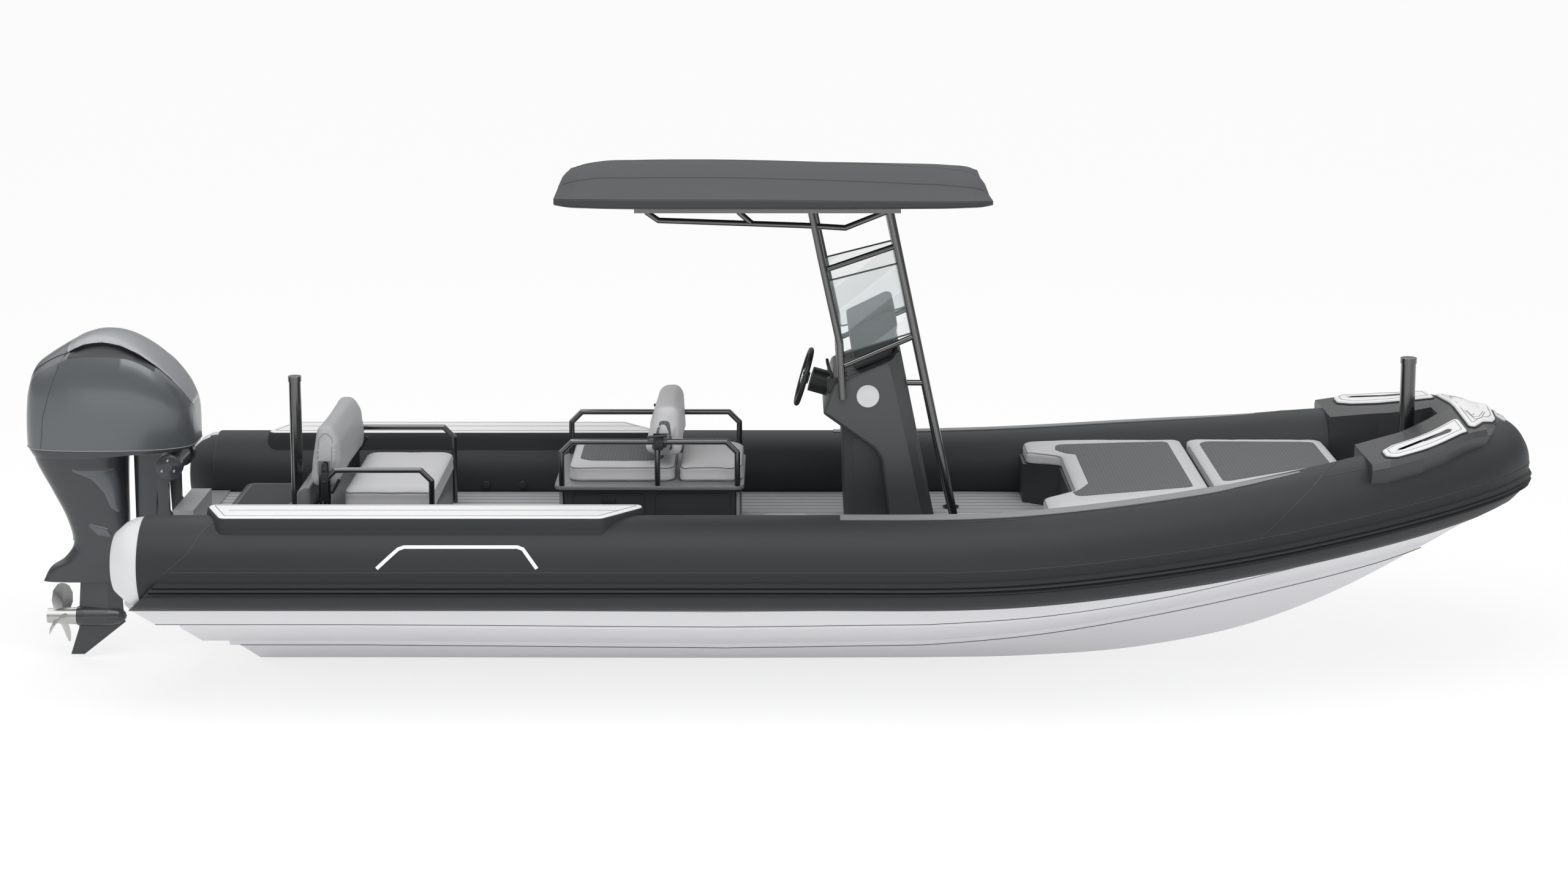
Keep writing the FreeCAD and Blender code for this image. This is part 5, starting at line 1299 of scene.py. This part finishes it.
# The outboard hangs on a forged clamp with a plain round cover over each tilt pivot. Its
# cowl is painted, with a silver crown, a dark intake slot on each side, a thin pale line
# above the tray and a seam down its rear. The leg below is cast, with raised facets.
engine_paint = finish("engine_paint", shades(52, 54, 57), 0.30, coat=0.3, cloud=0.05, bump=0.05)
cowl_paint = finish("cowl_paint", shades(90, 94, 97), 0.28, metal=0.25, coat=0.35, cloud=0.04, coarse=1.5,
                    bump=0.02)
for node in ("gearcase", "clamp_bracket", "swivel_bracket"):
    keep(node, engine_paint)
iron = finish("engine_iron", shades(70, 70, 72), 0.5, metal=0.7, cloud=0.1)
keep("engine_block", iron)
blade_steel = finish("blade_steel", shades(186, 186, 184), 0.28, metal=0.9, cloud=0.05, bump=0.05)
keep("propeller", blade_steel)


def contour(name, host, place, normal, thick):
    """A thin raised line where a plane cuts a piece"""
    bpy.context.view_layer.update()
    form = bmesh.new()
    form.from_mesh(host.data)
    form.transform(host.matrix_world)
    cut = bmesh.ops.bisect_plane(form, geom=form.verts[:] + form.edges[:] + form.faces[:], plane_co=place,
                                 plane_no=normal)
    kept = {part for part in cut["geom_cut"] if isinstance(part, bmesh.types.BMEdge)}
    bmesh.ops.delete(form, geom=[face for face in form.faces], context="FACES_ONLY")
    bmesh.ops.delete(form, geom=[edge for edge in form.edges if edge not in kept], context="EDGES")
    mesh = bpy.data.meshes.new(name)
    form.to_mesh(mesh)
    form.free()
    piece = bpy.data.objects.new(name, mesh)
    scene.collection.objects.link(piece)
    pick(piece)
    bpy.ops.object.convert(target="CURVE")
    piece = bpy.context.object
    piece.data.bevel_depth = thick
    piece.data.bevel_resolution = 1
    bpy.ops.object.convert(target="MESH")
    return shade(bpy.context.object, 50)


crown_silver = finish("crown_silver", shades(150, 152, 156), 0.28, metal=0.35, coat=0.3, cloud=0.03,
                      coarse=1.5, bump=0.02)
# Each row of the cowl: x, half width, top, crown edge (half, height), shoulder (half, height)
cowl_rows = [(-3.963, 0.100, 0.900, 0.060, 0.886, 0.085, 0.870),
             (-3.950, 0.170, 1.050, 0.105, 1.030, 0.145, 1.005),
             (-3.930, 0.215, 1.180, 0.135, 1.155, 0.185, 1.125),
             (-3.895, 0.255, 1.262, 0.155, 1.235, 0.220, 1.200),
             (-3.840, 0.285, 1.306, 0.170, 1.282, 0.245, 1.248),
             (-3.760, 0.305, 1.356, 0.180, 1.326, 0.262, 1.292),
             (-3.690, 0.314, 1.396, 0.188, 1.352, 0.272, 1.328),
             (-3.645, 0.317, 1.418, 0.192, 1.378, 0.276, 1.338),
             (-3.560, 0.320, 1.438, 0.198, 1.404, 0.278, 1.343),
             (-3.450, 0.318, 1.427, 0.196, 1.402, 0.274, 1.341),
             (-3.330, 0.308, 1.374, 0.190, 1.356, 0.262, 1.322),
             (-3.205, 0.285, 1.278, 0.178, 1.268, 0.236, 1.252),
             (-3.100, 0.235, 1.165, 0.150, 1.160, 0.190, 1.148),
             (-3.045, 0.185, 1.085, 0.118, 1.078, 0.145, 1.068),
             (-3.022, 0.130, 1.035, 0.085, 1.025, 0.105, 1.012),
             (-3.015, 0.080, 0.940, 0.050, 0.930, 0.064, 0.915)]
cowl_count = len(cowl_rows) - 1
cowl_fair = fair(range(cowl_count + 1), cowl_rows, np.linspace(0, cowl_count, 6 * cowl_count + 1))
cowl_base = 0.80
cowl_middle = -3.49
slot_aft = -3.69
slot_front = -3.185
cowl_rings = []
for x, half, top, crown_half, crown_z, shoulder_half, shoulder_z in cowl_fair:
    rise_here = shoulder_z - cowl_base
    open_here = max(0.0, min(1.0, (x - slot_aft) / 0.05, (slot_front - x) / 0.12))
    side = [(0.955 * half, cowl_base), (0.985 * half, cowl_base + 0.18 * rise_here),
            (half, cowl_base + 0.40 * rise_here), (0.992 * half, cowl_base + 0.62 * rise_here),
            (0.95 * half, cowl_base + 0.84 * rise_here), (shoulder_half + 0.004, shoulder_z - 0.010),
            (shoulder_half - 0.006, shoulder_z)]
    recess_depth = 0.022 * open_here
    side.append((shoulder_half - 0.010 - 0.4 * recess_depth, shoulder_z + 0.003 - 0.3 * recess_depth))
    side.append((crown_half + 0.004 - 0.3 * recess_depth, crown_z - 0.006 - 0.8 * recess_depth))
    side.append((crown_half + 0.008, crown_z - 0.004))
    side.append((crown_half, crown_z + 0.002))
    for share_up in (0.30, 0.55, 0.78):
        side.append((crown_half * math.cos(share_up * math.pi / 2),
                     crown_z + (top - crown_z) * math.sin(share_up * math.pi / 2)))
    cowl_rings.append([(x, -y, z) for y, z in side] + [(x, 0.0, top)]
                      + [(x, y, z) for y, z in reversed(side)])
cowl = skin("engine_cowl", cowl_rings)
for material in (cowl_paint, crown_silver, black_trim):
    cowl.data.materials.append(material)
for face in cowl.data.polygons:
    spot = face.center
    crown_edge = np.interp(spot.x, cowl_fair[:, 0], cowl_fair[:, 4])
    shoulder_edge = np.interp(spot.x, cowl_fair[:, 0], cowl_fair[:, 6])
    if spot.x > -3.70 and spot.z > crown_edge - 0.003 and spot.z > 1.03:
        face.material_index = 1
    elif -3.685 < spot.x < -3.20 and shoulder_edge - 0.006 < spot.z < crown_edge - 0.002:
        face.material_index = 2
shade(cowl, 26)
attach(cowl, cowl_paint, "engine", ("top_cowl",))
pale_line = contour("cowl_base_line", cowl, (0, 0, 0.803), (0, 0, 1), 0.003)
attach(pale_line, trim_grey, "engine")
cowl_lines = []
for view in ("port", "starboard"):
    cowl_lines.append(traced("rear_seam",
                             run_along([(-3.700, 1.350), (-3.745, 1.244), (-3.790, 1.120), (-3.828, 0.988),
                                        (-3.850, 0.81)], 0.03), cowl, 0.0025, view, False))
    cowl_lines.append(traced("crown_seam",
                             run_along([(x, float(np.interp(x, cowl_fair[:, 0], cowl_fair[:, 4])) - 0.002)
                                        for x in (-3.69, -3.60, -3.50, -3.40, -3.30, -3.20, -3.12)], 0.03),
                             cowl, 0.002, view, False))
attach(join("cowl_lines", cowl_lines), shade_and_seam_ink, "engine")

base_line = [ring[0][:2] for ring in cowl_rings]
tray_outline = base_line + [(x, -y) for x, y in reversed(base_line)]


def tray_floor(x):
    """The underside of the tray, which rises ahead of the leg"""
    return float(np.interp(x, [-3.96, -3.60, -3.35, -3.02], [0.748, 0.752, 0.772, 0.785]))


tray_rings = []
for shrink, drop, share_down in ((0.985, 0.0, 0.0), (0.985, 0.012, 0.0), (0.94, 0.0, 1.0), (0.80, 0.0, 1.12)):
    ring = []
    for x, y in tray_outline:
        depth = share_down * (cowl_base - tray_floor(x))
        ring.append((cowl_middle + (x - cowl_middle) * shrink, y * shrink, cowl_base - drop - depth))
    tray_rings.append(ring)
tray = shade(skin("cowl_tray", tray_rings), 30)
attach(tray, engine_paint, "engine", ("lower_cowl",))

leg_rows = [(0.775, -3.930, -3.400, 0.190), (0.700, -3.940, -3.420, 0.165), (0.510, -3.850, -3.425, 0.120),
            (0.355, -3.777, -3.425, 0.095), (0.215, -3.745, -3.430, 0.085), (0.120, -3.800, -3.432, 0.080),
            (0.060, -3.885, -3.434, 0.070), (-0.020, -3.930, -3.436, 0.060)]
leg_levels = fair(range(8), leg_rows, np.linspace(0, 7, 50))
leg_rings = []
for z, aft, front, half in leg_levels:
    ring = []
    for turn in np.linspace(0, 2 * math.pi, 49)[:-1]:
        wide = math.copysign(abs(math.cos(turn)) ** 0.62, math.cos(turn))
        deep = math.copysign(abs(math.sin(turn)) ** 0.75, math.sin(turn))
        ring.append((0.5 * (aft + front) + 0.5 * (front - aft) * wide, half * deep, z))
    leg_rings.append(ring)
leg = shade(skin("engine_leg", leg_rings), 40)
attach(leg, engine_paint, "engine", ("midsection",))
# The raised facets on the leg are laid in the cowl's lighter paint: a painted highlight where light falls on
# them.
FACET = ((0.0, -0.006), (0.0, -0.001), (0.010, 0.006), (0.028, 0.008))
upper_facet = laid("upper_facet", [(-3.745, 0.668), (-3.600, 0.600), (-3.540, 0.520), (-3.512, 0.430),
                                   (-3.455, 0.378), (-3.450, 0.560), (-3.462, 0.668)],
                   [0.01, 0.05, 0.05, 0.05, 0.02, 0.05, 0.02], leg, FACET, "port")
lower_facet = laid("lower_facet", [(-3.662, 0.342), (-3.530, 0.306), (-3.500, 0.250), (-3.588, 0.262)], 0.01,
                   leg, ((0.0, -0.006), (0.0, -0.001), (0.008, 0.005), (0.016, 0.006)), "port")
facets = join("leg_facets_starboard", [upper_facet, lower_facet])
attach_both(facets, cowl_paint, "engine")
# A round strip of the lighter cowl paint down the leg's aft edge is a painted highlight.
spine = tube("leg_spine", [(aft + 0.004, 0.0, z) for z, aft, front, half in leg_levels if 0.20 < z < 0.74],
             0.013)
attach(spine, cowl_paint, "engine")
TILT_X = -3.15
TILT_Z = 0.69
BOLT_CIRCLE = 0.04
boss_cover = turned("boss_cover", [(-0.01, 0.0), (-0.01, 0.070), (0.004, 0.070), (0.009, 0.063),
                                   (0.009, 0.0)], (TILT_X, -0.21, TILT_Z), (0, -1, 0), 40)
boss_bolts = []
for turn in (90, 210, 330):
    spot = (TILT_X + BOLT_CIRCLE * math.cos(math.radians(turn)), -0.219,
            TILT_Z + BOLT_CIRCLE * math.sin(math.radians(turn)))
    boss_bolts.append(turned("boss_bolt", [(-0.004, 0.0), (-0.004, 0.008), (0.004, 0.008), (0.005, 0.006),
                                           (0.005, 0.0)], spot, (0, -1, 0), 6))
for name, piece, material in (("boss_cover", boss_cover, engine_paint),
                              ("boss_bolts", join("boss_bolts", boss_bolts), steel)):
    piece.name = name + "_starboard"
    attach_both(piece, material)

# Small fittings are screwed on: moulded drain covers on the inner sides of the collar and
# a black clamp with a lever on each rail of the helm seat.
covers = [turned("drain_cover", [(-0.004, 0.0), (-0.004, 0.024), (0.005, 0.024), (0.008, 0.018),
                                 (0.006, 0.0)], (x, side * 0.832, 0.345), (0, -side, 0), 24)
          for x in (-1.468, -1.247) for side in (-1, 1)]
attach(join("drain_covers", covers), black_trim)
clamps = []
for side in (-1, 1):
    clamps.append(slab("rail_clamp", box_corners(-0.405, 0.838, -0.350, 0.905), side * 0.41 - 0.030,
                       side * 0.41 + 0.030, 0.010, 0.004, "xzy"))
    clamps.append(tube("clamp_lever", [(-0.44, side * 0.445, 0.912), (-0.33, side * 0.445, 0.922)], 0.009))
attach(join("rail_clamps", clamps), black_trim)

bpy.context.view_layer.update()
